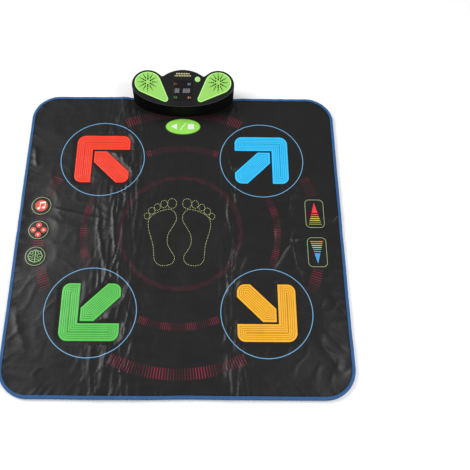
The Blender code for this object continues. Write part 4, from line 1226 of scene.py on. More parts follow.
class DANCEMAT_OT_edge_binding(bpy.types.Operator):
    """Makes the folded tape round the edge and its line of stitches"""

    bl_idname = "dance_mat.edge_binding"
    bl_label = "Edge binding"

    def execute(self, context):
        mat = context.scene.dance_mat
        outer = evenly(mat_outline(0.0), TAPE_STEP)
        line, inward = np.array(outer), inward_of(outer)
        lie = sheet_rise(*(line + inward * TAPE_WIDTH).T)
        places = pushed_out(line)
        profile = self.section()
        along = lengths_along(places)
        points, uvs = [], []
        for k, (x, y) in enumerate(places):
            for a, z, across in profile:
                lift = lie[k] * smooth_step(z / TAPE_TOP)
                points.append((x + inward[k, 0] * a, y + inward[k, 1] * a, z + lift))
                uvs.append((along[k], across))
        count, sides = len(places), len(profile)
        faces, corners = [], []
        for k in range(count):
            for s in range(sides):
                ring = [(k, s), (k, s + 1), (k + 1, s + 1), (k + 1, s)]
                faces.append([(i % count) * sides + j % sides for i, j in ring][::-1])
                for i, j in ring[::-1]:
                    u, v = uvs[(i % count) * sides + j % sides]
                    corners.append((u if i < count else along[-1] + TAPE_STEP,
                                    v if j < sides else profile[-1][2] + 1 * MM))
        woven = finish("blue_binding_tape", mat.tape, 0.62, drift_size=0.02, scuff=0.10,
                       weave=WEAVE, gloss=0.35)
        tape = make("binding_tape", points, faces, [woven], "mat", slot="blue_tape",
                    replaces="edge_binding", sharp=60)
        layer = tape.data.uv_layers.new(name="tape")
        layer.data.foreach_set("uv", np.array(corners, np.float32).ravel())
        stitches = self.stitches(mat, places, inward, lie)
        return {"FINISHED"}

    def section(self):
        """The tape's section from its lower inner edge round the outside to its upper one and back."""
        turn = 2.6 * MM
        outside = [(TAPE_WIDTH, 0.05 * MM), (TAPE_WIDTH * 0.6, 0.0), (turn, 0.0)]
        outside += arc((turn, turn), (turn, turn), 247.5, 180.0, 4)
        outside += arc((turn, TAPE_TOP - turn), (turn, turn), 180.0, 100.0, 5)
        outside += [(0.50 * TAPE_WIDTH, TAPE_TOP + 0.12 * MM), (0.60 * TAPE_WIDTH, TAPE_TOP + 0.05 * MM),
                    (SEAM * TAPE_WIDTH, TAPE_TOP - SEAM_DIP), (0.80 * TAPE_WIDTH, TAPE_TOP + 0.08 * MM),
                    (0.94 * TAPE_WIDTH, TAPE_TOP - 0.02 * MM), (TAPE_WIDTH, TAPE_TOP - 0.3 * MM)]
        under = TAPE_TOP - TAPE_WALL + 0.05 * MM
        inside = [(TAPE_WIDTH, under), (TAPE_WALL + 1.5 * MM, under), (TAPE_WALL, under - 1.5 * MM),
                  (TAPE_WALL, 2.5 * MM), (TAPE_WALL + 1.5 * MM, 0.95 * MM), (TAPE_WIDTH, 0.95 * MM)]
        section = outside + inside
        return [(a, z, across) for (a, z), across in zip(section, lengths_along(section))]

    def stitches(self, mat, places, inward, lie):
        """The seam's thread, as short raised stitches along the tape."""
        line = np.c_[places + inward * SEAM * TAPE_WIDTH, TAPE_TOP - SEAM_DIP + lie]
        line = np.vstack([line, line[:1]])
        lengths = lengths_along(line)
        count = round(lengths[-1] / STITCH_PITCH)
        starts = np.linspace(0.0, lengths[-1], count, endpoint=False)

        def at(place):
            return np.array([np.interp(place % lengths[-1], lengths, line[:, axis]) for axis in range(3)])

        solids = []
        for start in starts:
            a, b = at(start), at(start + STITCH_LENGTH)
            side = np.append(left_of((b - a)[None, :2])[0], 0.0)
            rings = []
            for share, width, height in STITCH_SECTIONS:
                arch = arc((0.0, -0.02 * MM), (STITCH_WIDTH / 2 * width, STITCH_HEIGHT * height), 0, 180, 4)
                rings.append([a + (b - a) * share + side * across + (0.0, 0.0, up) for across, up in arch])
            solids.append(loft(rings))
        # The thread is a dark blue, darkened further as painted shade of the seam's dip
        thread = finish("blue_thread", [c * 0.22 for c in mat.tape], 0.5, drift_size=0.004,
                        grain=0.2 * MM, relief=0.03 * MM)
        return make("binding_stitches", *joined(solids), [thread], "mat", slot="blue_tape")


# The contour lines of an arrow: how far each runs inside its edge, a line's width, and its sides' slant. Only
# the shaft has the last one, because the head's arms are too narrow for lines past HEAD_MIDDLE
CONTOURS = (7.0 * MM, 12.4 * MM, 17.8 * MM, 23.2 * MM)
CONTOUR = 1.8 * MM
SLANT = 0.35 * MM
HEAD_MIDDLE = 23.0 * MM

# An arrow's rounded edge, in millimetres: how far inside the outline, and how high. Then its foot and its top
ARROW_EDGE = ((0.15, 8.66), (0.4, 8.87), (0.8, 9.0), (1.6, 9.06), (4.0, 9.15))
ARROW_RIM_Z = 8.2 * MM
ARROW_FACE_Z = 9.2 * MM


class DANCEMAT_OT_arrow_pads(bpy.types.Operator):
    """Makes the heads and shafts of the four arrows with their contour lines"""

    bl_idname = "dance_mat.arrow_pads"
    bl_label = "Arrow pads"

    def execute(self, context):
        pads = context.scene.dance_pads
        rings = [(inside * MM, height * MM, BARE) for inside, height in ARROW_EDGE]
        low = ARROW_FACE_Z - pads.groove
        for middle in CONTOURS:
            first, last = middle - CONTOUR / 2, middle + CONTOUR / 2
            rings += [(first - SLANT, ARROW_FACE_Z, BARE), (first, low, 1), (last, low, BARE),
                      (last + SLANT, ARROW_FACE_Z, BARE)]
        for colour in ARROWS:
            base = getattr(pads, colour)
            body = finish(colour + "_pad_vinyl", base, 0.32, drift=0.07, scuff=0.10,
                          grain=1.2 * MM, relief=0.03 * MM, gloss=0.38)
            lines = finish(colour + "_contour", [c * 0.50 for c in base], 0.5, drift=0.08, gloss=0.3)
            for part, shape in (("head", arrow_head), ("shaft", arrow_shaft)):
                kept = [ring for ring in rings if part == "shaft" or ring[0] < HEAD_MIDDLE]
                shapes = [(place_arrow(shape(-inside), colour), mark) for inside, _, mark in kept]
                levels = [ARROW_RIM_Z] + [height for _, height, _ in kept]
                pad = plate(place_arrow(shape(0.0), colour), shapes,
                            lambda x, y: pads.waviness * noise(x, y, 0.026, 31), SHEET_BOTTOM, levels=levels)
                make_plate(f"{colour}_{part}_pad", pad, [body, lines], colour + "_arrow", mark=1,
                           slot=colour + "_pad", replaces=f"{colour}_arrow_{part}", sharp=50)
        return {"FINISHED"}


# The small pads' prints, each a loop and its ink's name, or None where the pad is bare, in metres from its
# centre

RING_LINE = 1.1 * MM


def ring_line(radii, corner=None):
    """A thin closed line round the middle of a pad."""
    loops = []
    for grow, ink in ((RING_LINE / 2, "line"), (-RING_LINE / 2, None)):
        half = [radius + grow for radius in radii]
        loop = ellipse(MIDDLE, half, 72) if corner is None else rectangle(MIDDLE, half, corner + grow, 12)
        loops.append((loop, ink))
    return loops


def mode_line():
    """The line round a mode pad's sign."""
    return ring_line((0.0272, 0.0272))


def play_stop_print():
    """A wedge, a slash and a square."""
    return [(ellipse(MIDDLE, (0.0515, 0.0265), 72), "lime"),
            ([(-0.0380, 0.0), (-0.0185, -0.0105), (-0.0185, 0.0105)], "white"),
            (strip([(-0.0085, -0.0130), (0.0, 0.0), (0.0085, 0.0130)], 2.2 * MM), "white"),
            (rectangle((0.0240, 0.0), (0.0095, 0.0092), 0.0008, 3), "white")]


def music_print():
    """A pair of joined notes on a disc."""
    shapes = mode_line() + [(circle(MIDDLE, 0.0176, 60), "red")]
    for x, y in ((-0.0072, -0.0085), (0.0068, -0.0060)):
        head = [(x + 4.3 * MM * math.cos(a) - 0.8 * MM * math.sin(a),
                 y + 3.1 * MM * math.sin(a) + 1.0 * MM * math.cos(a))
                for a in np.radians(np.arange(0, 360, 15))]
        shapes.append((head, "white"))
        shapes.append((rectangle((x + 3.5 * MM, y + 0.0095), (0.9 * MM, 0.0095)), "white"))
    shapes.append(([(-0.0046, 0.0062), (0.0112, 0.0086), (0.0112, 0.0136), (-0.0046, 0.0112)], "white"))
    return shapes


def arrow_print():
    """Four balls, each with a wedge that points outwards."""
    shapes = mode_line()
    for turn in range(4):
        ahead = Vector((math.cos(turn * math.pi / 2), math.sin(turn * math.pi / 2)))
        side = Vector((-ahead.y, ahead.x))
        middle = ahead * 0.0145
        shapes.append((circle(tuple(middle), 8.2 * MM, 40), "ball"))
        back = middle - ahead * 2.0 * MM
        wedge = [middle + ahead * 3.6 * MM, back + side * 3.4 * MM, back - side * 3.4 * MM]
        shapes.append(([tuple(p) for p in wedge], "white"))
    return shapes


def memory_print():
    """Two folded lobes in thin lines."""
    around = []
    for angle in np.radians(np.arange(0, 360, 7.5)):
        radius = 0.0186 + 1.9 * MM * abs(math.cos(4 * angle))
        around.append((radius * math.cos(angle), 0.92 * radius * math.sin(angle)))
    shapes = mode_line() + [(around, "leaf"), (inset(around, 1.2 * MM), None)]
    folds = (((3.2, 11.5), (6.8, 9.5), (6.2, 6.0), (9.5, 5.0), (12.6, 7.2)),
             ((2.6, 4.2), (5.6, 1.6), (4.6, -1.8), (8.0, -3.2), (11.0, -0.8), (14.2, -1.6)),
             ((2.6, -8.6), (6.2, -7.4), (8.6, -8.6), (8.2, -12.2)),
             ((10.4, -6.2), (13.0, -7.4), (13.4, -9.6)))
    shapes.append((strip([(0.0, -0.0165), (0.0, 0.0), (0.0, 0.0165)], 1.5 * MM), "leaf"))
    for fold in folds:
        for side in (1, -1):
            line = soft_bend([(1.18 * side * x * MM, 1.18 * y * MM) for x, y in fold])
            shapes.append((strip(line, 0.95 * MM), "leaf"))
    return shapes


# The wedge on a volume pad: half its length, half its width at the wide end, and its bars' pitch and height.
# Then, by whether it is the upper pad's, its way along Y, where its bars start, their inks and its tip's
VOLUME_TIP = 0.0345
VOLUME_WIDE = 0.0185
VOLUME_PITCH = 6.1 * MM
VOLUME_BAR = 2.1 * MM
VOLUME_WEDGES = {
    True: (1, -VOLUME_TIP, ("olive", "olive", "gold", "gold", "amber", "coral"), "scarlet"),
    False: (-1, -VOLUME_TIP + 1.5 * MM, ("amber", "amber", "leaf", "leaf", "teal", "teal"), "sky"),
}


def volume_print(up):
    """A wedge cut into bars at its wide end, pointing up or down."""
    shapes = ring_line((0.0262, 0.0437), 0.0125)
    way, start, inks, last_ink = VOLUME_WEDGES[up]

    def across(y):
        half = VOLUME_WIDE * (VOLUME_TIP - y) / (2 * VOLUME_TIP)
        return [(-half, y), (half, y)]

    for number, ink in enumerate(inks):
        low = start + number * VOLUME_PITCH
        corners = across(low) + across(low + VOLUME_BAR)[::-1]
        shapes.append(([(x, way * y) for x, y in corners], ink))
    corners = across(start + len(inks) * VOLUME_PITCH) + [(0.0, VOLUME_TIP)]
    return shapes + [([(x, way * y) for x, y in corners], last_ink)]


PAD_PRINTS = {
    "play_stop": play_stop_print,
    "music_mode": music_print,
    "arrow_mode": arrow_print,
    "memory_mode": memory_print,
    "volume_up": lambda: volume_print(True),
    "volume_down": lambda: volume_print(False),
}

# The small pads' edge, in millimetres: distances inside the outline, and the heights there
PAD_EDGE = (0.0, 0.2, 0.6, 1.2, 4.0, 12.0, 60.0)
PAD_HEIGHTS = (7.5, 7.95, 8.22, 8.3, 8.38, 8.55, 8.75)

PAD_INKS = {
    "white": (222, 226, 216), "red": (206, 58, 34), "ball": (208, 56, 34), "leaf": (166, 220, 132),
    "olive": (150, 150, 78), "gold": (226, 204, 96), "amber": (226, 146, 58), "coral": (236, 96, 56),
    "scarlet": (222, 48, 52), "sky": (52, 150, 208), "teal": (70, 178, 170),
}


class DANCEMAT_OT_small_pads(bpy.types.Operator):
    """Makes the play and stop pad, the mode pads and the volume pads with their prints"""

    bl_idname = "dance_mat.small_pads"
    bl_label = "Small pads"

    def execute(self, context):
        pads, mat = context.scene.dance_pads, context.scene.dance_mat
        dark = finish("pad_vinyl", mat.vinyl, mat.vinyl_roughness, drift=0.12, scuff=0.10,
                      grain=0.9 * MM, relief=0.03 * MM, gloss=0.28)
        rim = finish("play_pad_rim", [c * 0.35 for c in pads.lime], 0.45, drift=0.08)
        inks = {name: finish(name + "_ink", shade(*colour), 0.40, drift=0.08, drift_size=0.01, scuff=0.08)
                for name, colour in PAD_INKS.items()}
        inks["line"] = finish("pad_line_ink", pads.line, 0.42, drift_size=0.01)
        inks["lime"] = finish("lime_ink", pads.lime, 0.36, drift=0.08, drift_size=0.02)
        names = list(inks)
        for name, drawn in PAD_PRINTS.items():
            centre = SMALL_PADS[name][0]
            shapes = [(small_pad(name, -d * MM), BARE) for d in PAD_EDGE[1:4]]
            for loop, ink in drawn():
                loop = moved(divided(loop, 3.5 * MM), centre)
                shapes.append((loop, BARE if ink is None else names.index(ink)))
            outline = small_pad(name, 0.0)
            pad = plate(outline, shapes, height_from(outline, PAD_EDGE, PAD_HEIGHTS), SMALL_PAD_BOTTOM,
                        spacing=3.0 * MM)
            body, slot = (rim, "lime_pad") if name == "play_stop" else (dark, "dark_pad")
            make_plate(name + "_button", pad, [body], name, slot=slot, replaces=name + "_pad", sharp=50)
            used = sorted(set(pad.marks[pad.marks >= 0]))
            make_print(name + "_print", pad, used, 0.05 * MM, [inks[names[n]] for n in used], name, slot)
        return {"FINISHED"}


# The console

def sloped_body(outline, low, drop, turn, steps=7):
    """A closed solid inside an outline, from a flat underside up to the slope of the console's face.

    drop is how far it stays below the face, and turn the radius that rounds its upper edge.
    """
    line, outward = np.array(outline), -inward_of(outline)
    slope = math.tan(FACE_TILT)
    rise = slope * outward[:, 1]
    edge_z = FACE_FRONT_Z + (line[:, 1] - CONSOLE_FRONT_Y) * slope - drop / math.cos(FACE_TILT)
    centre_z = edge_z - rise * turn - turn * np.sqrt(1 + rise ** 2)
    last = np.arctan2(1.0, -rise)
    rings = [np.c_[line, np.full(len(line), low)]]
    for step in range(steps + 1):
        angle = last * step / steps
        inwards = turn * (np.cos(angle) - 1.0)
        rings.append(np.c_[line + outward * inwards[:, None], centre_z + turn * np.sin(angle)])
    return loft(rings)


def pocket(name, shape, flare, low):
    """A tool that cuts a pocket into the face, wider at its mouth. shape(grow) gives its outline."""
    above = 0.5 * MM
    inner, mouth = shape(0.0), shape(flare + above)
    return solid(name, *prism([(inner, low), (inner, -flare), (mouth, above), (mouth, 10 * MM)]), place=FACE)


def wall_finish(look):
    """The fine grained plastic of the console's upright sides, duller than its face, and darker as painted
    shade.
    """
    return finish("console_side_plastic", [c * 0.6 for c in look.shell], 0.60, drift_size=0.04,
                  scuff=0.08, grain=0.7 * MM, relief=0.05 * MM, gloss=0.06)


# The upright part of a face's normal: below the first it is a wall, and below the second the rounded edge,
# which is painted lighter as a painted highlight
EDGE_NORMALS = (0.45, 0.88)

# The heights off the face of a cut through it, and the turn that lays an upright rod along Y
THROUGH_FACE = (-8 * MM, -1 * MM)
BACKWARDS = Matrix.Rotation(math.radians(-90), 4, "X")


class DANCEMAT_OT_housing(bpy.types.Operator):
    """Makes the console's upper shell and its base"""

    bl_idname = "dance_mat.housing"
    bl_label = "Console housing"

    def execute(self, context):
        look = context.scene.dance_console
        outline = console_outline()
        walls = wall_finish(look)
        self.shell(look, outline, walls)
        self.base(outline, walls)
        return {"FINISHED"}

    def shell(self, look, outline, walls):
        """The upper shell, hollow, with its posts and the openings for what it holds."""
        black = finish("console_plastic", look.shell, look.shell_roughness, drift_size=0.04,
                       scuff=0.10, grain=0.5 * MM, relief=0.02 * MM, gloss=0.22)
        # The rounded edge's lighter colour is a painted highlight
        painted_highlight = finish("console_edge_plastic", shade(52, 52, 56), 0.34, drift_size=0.04, scuff=0.12,
                      grain=0.5 * MM, relief=0.02 * MM, gloss=0.40)
        shell = solid("console_shell", *sloped_body(outline, SHELL_BOTTOM_Z, 0.0, FACE_EDGE))
        inside = sloped_body(inset(outline, WALL), SHELL_BOTTOM_Z - 1 * MM, FACE_THICKNESS, 1 * MM, 3)
        core = carve(solid("shell_core", *inside), *self.posts("shell_post", POST_RADIUS, -0.01, 0.14))
        tools = [core, self.door_cutter("shell_door"),
                 *self.posts("post_pilot", PILOT_RADIUS, 0.0, 0.024)]
        for side in (-1, 1):
            tools.append(pocket(f"grille_pocket_{side}", lambda grow: teardrop(GRILLE_GAP + grow, side),
                                0.5 * MM, GRILLE_SEAT))
            through = circle((side * GRILLE_PLACE[0], GRILLE_PLACE[1]), SPEAKER_OPENING, 64)
            tools.append(rod(f"speaker_opening_{side}", through, *THROUGH_FACE, place=FACE))
        tools.append(pocket("window_pocket", self.window, 0.4 * MM, WINDOW_BOTTOM - PAD_GAP))
        opening = rectangle(WINDOW_CENTRE, [h - WINDOW_LEDGE for h in WINDOW_HALF],
                            WINDOW_CORNER - WINDOW_LEDGE)
        tools.append(rod("window_opening", opening, *THROUGH_FACE, place=FACE))
        tools.append(pocket("button_hole", self.button_hole, 0.4 * MM, THROUGH_FACE[0]))
        carve(shell, *tools, *self.jack_cutters())
        upright = [sum(abs(face.normal.z) < limit for limit in EDGE_NORMALS) for face in shell.data.polygons]
        shell.data.polygons.foreach_set("material_index",
                                        np.array([(0, 2, 1)[k] for k in upright], np.int32))
        settle(shell, [black, walls, painted_highlight], "mat", replaces="console_top_shell",
               sharp=30)

    def base(self, outline, walls):
        """The base, stepped over the mat and its tape, with the holes for its screws and the ribbon."""
        rings = [(inset(outline, 0.7 * MM), BASE_REAR_Z), (inset(outline, 0.2 * MM), BASE_REAR_Z + 0.3 * MM),
                 (outline, BASE_REAR_Z + 0.8 * MM), (outline, BASE_TOP_Z - 0.4 * MM),
                 (inset(outline, 0.3 * MM), BASE_TOP_Z)]
        base = solid("console_floor", *prism(rings))
        hollow = rod("base_hollow", inset(outline, WALL), BASE_REAR_Z + BASE_FLOOR, BASE_TOP_Z + 1 * MM)
        front, side, under = CONSOLE_FRONT_Y - 0.05, 0.3, -0.01
        floor = block("hollow_step", (-side, front, under),
                      (side, BASE_STEP_Y + WALL, BASE_UNDER_MAT_Z + BASE_FLOOR))
        carve(hollow, floor, *self.posts("base_boss", POST_RADIUS, under, 0.03))
        step = block("base_step", (-side, front, under), (side, BASE_STEP_Y, BASE_UNDER_MAT_Z))
        groove = block("base_groove", (-side, BASE_GROOVE_Y, under), (side, BASE_STEP_Y, BASE_OVER_TAPE_Z))
        slot = rod("base_ribbon_slot", ribbon_slot(), 0.0, 0.02)
        carve(base, step, groove, hollow, slot, self.door_cutter("base_door"),
              *self.posts("base_screw_hole", SCREW_HOLE, under, 0.03))
        settle(base, [walls], "mat", replaces="console_base", sharp=30)

    def window(self, grow):
        """The window's outline, with the gap round it."""
        half = [h + PAD_GAP + grow for h in WINDOW_HALF]
        return rectangle(WINDOW_CENTRE, half, WINDOW_CORNER + PAD_GAP + grow, 10)

    def button_hole(self, grow):
        """The power button's outline, with the gap round it."""
        return circle(BUTTON_PLACE, BUTTON_RADIUS + PAD_GAP + grow, 64)

    def posts(self, name, radius, low, high):
        """An upright rod at each of the places of the screws that hold the console."""
        return [rod(f"{name}_{number}", circle(place, radius, 24), low, high)
                for number, place in enumerate(FRONT_POSTS + REAR_POSTS)]

    def door_cutter(self, name):
        """The opening for the battery door."""
        return block(name, (-DOOR_HALF_WIDTH, DOOR_CUT_Y[0], DOOR_Z[0]),
                     (DOOR_HALF_WIDTH, DOOR_CUT_Y[1], DOOR_Z[1]))

    def jack_cutters(self):
        """The round holes for the two sockets at the back."""
        return [rod(f"jack_hole_{number}", circle(MIDDLE, radius + PAD_GAP, 40), 0.0, 0.04,
                    Matrix.Translation((x, JACK_CUT_Y, JACK_Z)) @ BACKWARDS)
                for number, (x, radius) in enumerate(JACKS)]


# A grille's rings of points and those of its rim, whose paler colour is a painted highlight, then distances
# inside its outline and the heights there, all in millimetres
GRILLE_RINGS = (0.3, 0.8, 1.4, 2.0, 2.6, 3.2, 6.0)
GRILLE_HIGHLIGHT_RINGS = GRILLE_RINGS[:4]
GRILLE_EDGE = ((0.0, 0.3, 0.8, 1.4, 2.0, 2.6, 3.2, 10.0, 40.0),
               (-0.2, 0.45, 0.85, 1.0, 1.0, 0.75, 0.45, 1.0, 1.7))


class DANCEMAT_OT_grilles(bpy.types.Operator):
    """Makes the two speaker grilles with their stars of holes"""

    bl_idname = "dance_mat.grilles"
    bl_label = "Speaker grilles"

    def execute(self, context):
        look = context.scene.dance_console
        lime = finish("grille_plastic", look.grille, 0.36, drift=0.05, scuff=0.08, grain=0.6 * MM,
                      relief=0.015 * MM, gloss=0.4)
        # The rim's paler colour is a painted highlight
        pale = [min(1.0, c * 1.4 + 0.08) for c in look.grille]
        rim = finish("grille_rim_plastic", pale, 0.30, drift=0.05)
        for label, side in (("left", -1), ("right", 1)):
            outline = teardrop(0.0, side)
            shapes = [(teardrop(-d * MM, side), 0 if d in GRILLE_HIGHLIGHT_RINGS else BARE) for d in GRILLE_RINGS]
            levels = [0.0] * (len(shapes) + 1)
            for row in range(STAR_ROWS):
                angle = 2 * math.pi * row / STAR_ROWS
                for distance, radius in STAR_HOLES[1 - row % 2:]:
                    place = (STAR_PLACE[0] + distance * math.cos(angle),
                             STAR_PLACE[1] + distance * math.sin(angle))
                    for grow, kind, level in ((0.35 * MM, BARE, 0.0), (0.0, HOLE, -0.35 * MM)):
                        hole = self.hole(place, angle, radius + grow)
                        shapes.append(([(side * x, y) for x, y in hole], kind))
                        levels.append(level)
            made = plate(outline, shapes, height_from(outline, *GRILLE_EDGE), GRILLE_BOTTOM,
                         spacing=2.4 * MM, levels=levels)
            make_plate(label + "_grille", made, [lime, rim], "mat", mark=0, slot="lime_plastic",
                       replaces=label + "_speaker_grille", sharp=35, place=FACE)
        return {"FINISHED"}

    def hole(self, place, angle, radius):
        """A hole of the star, a little longer along its ray than across it."""
        ray = Matrix.Rotation(angle, 2)
        oval = [ray @ Vector(p) for p in ellipse(MIDDLE, (1.05 * radius, radius), 18)]
        return [(place[0] + p.x, place[1] + p.y) for p in oval]


# Which of a digit's seven bars are lit. They are named from the top one clockwise, the middle one last
DIGITS = {0: "abcdef", 1: "bc", 2: "abged", 3: "abgcd", 4: "fgbc", 8: "abcdefg"}

# The display's signs of two digits: the place, the second digit and the light's name. Then the colours of the
# lights, and the places of the large digits
SIGNS = ((-0.0224, 0.0701, 1, "signal_red"), (0.0185, 0.0697, 2, "signal_blue"),
         (-0.0224, 0.0288, 3, "signal_green"), (0.0190, 0.0284, 4, "signal_amber"))
LIGHTS = {"signal_red": (178, 82, 46), "signal_blue": (124, 150, 172), "signal_green": (78, 142, 70),
          "signal_amber": (196, 142, 78), "lit_white": (124, 124, 126)}
LARGE_DIGITS_X = (-0.0217, -0.0143, 0.0030, 0.0104, 0.0178)
LARGE_DIGITS_Y = 0.0493

# A digit's width, height and stroke, and how far a sign's two digits are from its middle
SMALL_DIGIT = (3.9 * MM, 6.2 * MM, 1.1 * MM)
LARGE_DIGIT = (5.8 * MM, 13.5 * MM, 1.5 * MM)
DIGIT_OFFSET = 0.0024

# The rows of bars above the window: each one's place above their middle, its count and its height
TITLE_ROWS = ((0.0031, 17, 5.2 * MM), (-0.0033, 21, 4.6 * MM))
TITLE_PITCH = 2.35 * MM

# The window's edge, in millimetres: distances inside the outline, and the heights there
WINDOW_EDGE = ((0.0, 0.2, 0.5, 1.0, 12.0, 30.0), (-0.45, -0.15, -0.03, 0.0, 0.12, 0.2))


def digit_bars(value, centre, width, height, stroke):
    """The lit bars of one seven-bar digit."""
    w, h = width / 2 - stroke / 2, height / 2 - stroke / 2
    lines = {"a": ((-w, h), (w, h)), "b": ((w, h), (w, 0)), "c": ((w, 0), (w, -h)), "d": ((-w, -h), (w, -h)),
             "e": ((-w, 0), (-w, -h)), "f": ((-w, h), (-w, 0)), "g": ((-w, 0), (w, 0))}
    loops = []
    for letter in DIGITS[value]:
        a, b = (Vector(p) for p in lines[letter])
        ahead = (b - a).normalized()
        side = Vector((-ahead.y, ahead.x)) * stroke / 2
        a, b = a + ahead * 0.15 * stroke, b - ahead * 0.15 * stroke
        inner_a, inner_b = a + ahead * stroke / 2, b - ahead * stroke / 2
        loop = [a, inner_a - side, inner_b - side, b, inner_b + side, inner_a + side]
        lean = [(p.x + 0.10 * p.y + centre[0], p.y + centre[1]) for p in loop]
        loops.append(lean)
    return loops


class DANCEMAT_OT_display(bpy.types.Operator):
    """Makes the smoked window with its lit digits, and the bars printed above it"""

    bl_idname = "dance_mat.display"
    bl_label = "Display"

    def execute(self, context):
        look = context.scene.dance_console
        outline = rectangle(WINDOW_CENTRE, WINDOW_HALF, WINDOW_CORNER, 12)
        shapes = [(inset(outline, d * MM), BARE) for d in WINDOW_EDGE[0][1:4]]
        inks = [finish(name, shade(*colour), 0.4, drift=0.04, glow=look.glow)
                for name, colour in LIGHTS.items()]
        order = list(LIGHTS)
        for x, y, value, name in SIGNS:
            for offset, digit in ((-DIGIT_OFFSET, 0), (DIGIT_OFFSET, value)):
                for loop in digit_bars(digit, (x + offset, y), *SMALL_DIGIT):
                    shapes.append((loop, order.index(name)))
        for x in LARGE_DIGITS_X:
            for loop in digit_bars(8, (x, LARGE_DIGITS_Y), *LARGE_DIGIT):
                shapes.append((loop, order.index("lit_white")))
        made = plate(outline, shapes, height_from(outline, *WINDOW_EDGE), WINDOW_BOTTOM, spacing=2.5 * MM)
        smoked = finish("smoked_acrylic", shade(14, 14, 16), 0.20, drift=0.05, scuff=0.05, gloss=0.26)
        make_plate("window_pane", made, [smoked], "mat", slot="smoked_window", replaces="display_window",
                   place=FACE)
        make_print("display_digits", made, tuple(range(len(order))), 0.03 * MM, inks, "mat", "smoked_window",
                   sunk=0.02 * MM, place=FACE)
        yellow = finish("pale_yellow_ink", shade(226, 224, 170), 0.42, drift=0.06)
        make("level_bars_print", *joined(self.title_bars()), [yellow], "mat", slot="console_black",
             place=FACE)
        return {"FINISHED"}

    def title_bars(self):
        """Two rows of upright bars, as thin films on the face above the window."""
        bars = []
        for row, (rise, count, high) in enumerate(TITLE_ROWS):
            for number in range(count):
                x = TITLE_PLACE[0] + (number - (count - 1) / 2) * TITLE_PITCH
                tall = high * (0.66 + 0.34 * math.cos(number * 1.9 + row))
                outline = rectangle((x, TITLE_PLACE[1] + rise), (0.62 * MM, tall / 2), 0.2 * MM, 2)
                bars.append(prism([(outline, -0.1 * MM), (outline, 0.05 * MM)]))
        return bars


# The power button's rings of points, by their distance inside its edge in millimetres, and its underside's
# height. Then the radius of its mark and the width of the mark's lines
BUTTON_RINGS = (0.08, 0.25, 0.6, 1.2, 2.0, 2.7, 3.0, 3.3, 3.6, 3.9, 4.6, 5.4, 7.0)
BUTTON_BOTTOM = -2.0 * MM
MARK_RADIUS = 2.5 * MM
MARK_LINE = 0.7 * MM


class DANCEMAT_OT_power_button(bpy.types.Operator):
    """Makes the domed power button and its mark"""

    bl_idname = "dance_mat.power_button"
    bl_label = "Power button"

    def execute(self, context):
        look = context.scene.dance_console
        pale = [min(1.0, c * 1.1 + 0.11) for c in look.grille]
        lime = finish("button_plastic", pale, 0.30, drift=0.04, grain=0.6 * MM, relief=0.01 * MM)
        outline = circle(BUTTON_PLACE, BUTTON_RADIUS, 72)

        def top(x, y):
            reach = np.hypot(x - BUTTON_PLACE[0], y - BUTTON_PLACE[1]) / BUTTON_RADIUS
            crown = BUTTON_HEIGHT * (0.10 + 0.90 * np.sqrt(np.clip(1.0 - reach ** 2.4, 0.0, 1.0)))
            return crown - 0.5 * MM * np.exp(-((reach - 0.62) / 0.05) ** 2)

        shapes = [(circle(BUTTON_PLACE, BUTTON_RADIUS - d * MM, 72), BARE) for d in BUTTON_RINGS]
        x, y = BUTTON_PLACE
        upright = [(x, y + 0.6 * MM), (x, y + 1.8 * MM), (x, y + 3.0 * MM)]
        for line in (arc(BUTTON_PLACE, (MARK_RADIUS, MARK_RADIUS), 125.0, 415.0, 24), upright):
            shapes.append((strip(line, MARK_LINE), 0))
        made = plate(outline, shapes, top, BUTTON_BOTTOM, spacing=1.2 * MM)
        make_plate("power_cap", made, [lime], "power_push", slot="lime_plastic", replaces="power_button",
                   place=FACE)
        mark = finish("leaf_green_ink", shade(70, 130, 60), 0.45, drift=0.05)
        make_print("power_mark", made, (0,), 0.03 * MM, [mark], "power_push", "lime_plastic", place=FACE)
        return {"FINISHED"}


# The door's grip: where its lowest rib starts, their pitch, a rib's height and their count
GRIP_LOW = 0.0115
GRIP_PITCH = 2.6 * MM
GRIP_RIB = 1.3 * MM
GRIP_RIBS = 6

# The radii of the door's screw: its head, the seat for the head, the hole and the shank
SCREW_HEAD = 2.8 * MM
SCREW_SEAT = 3.2 * MM
SCREW_BORE = 1.4 * MM
SCREW_SHANK = 1.1 * MM


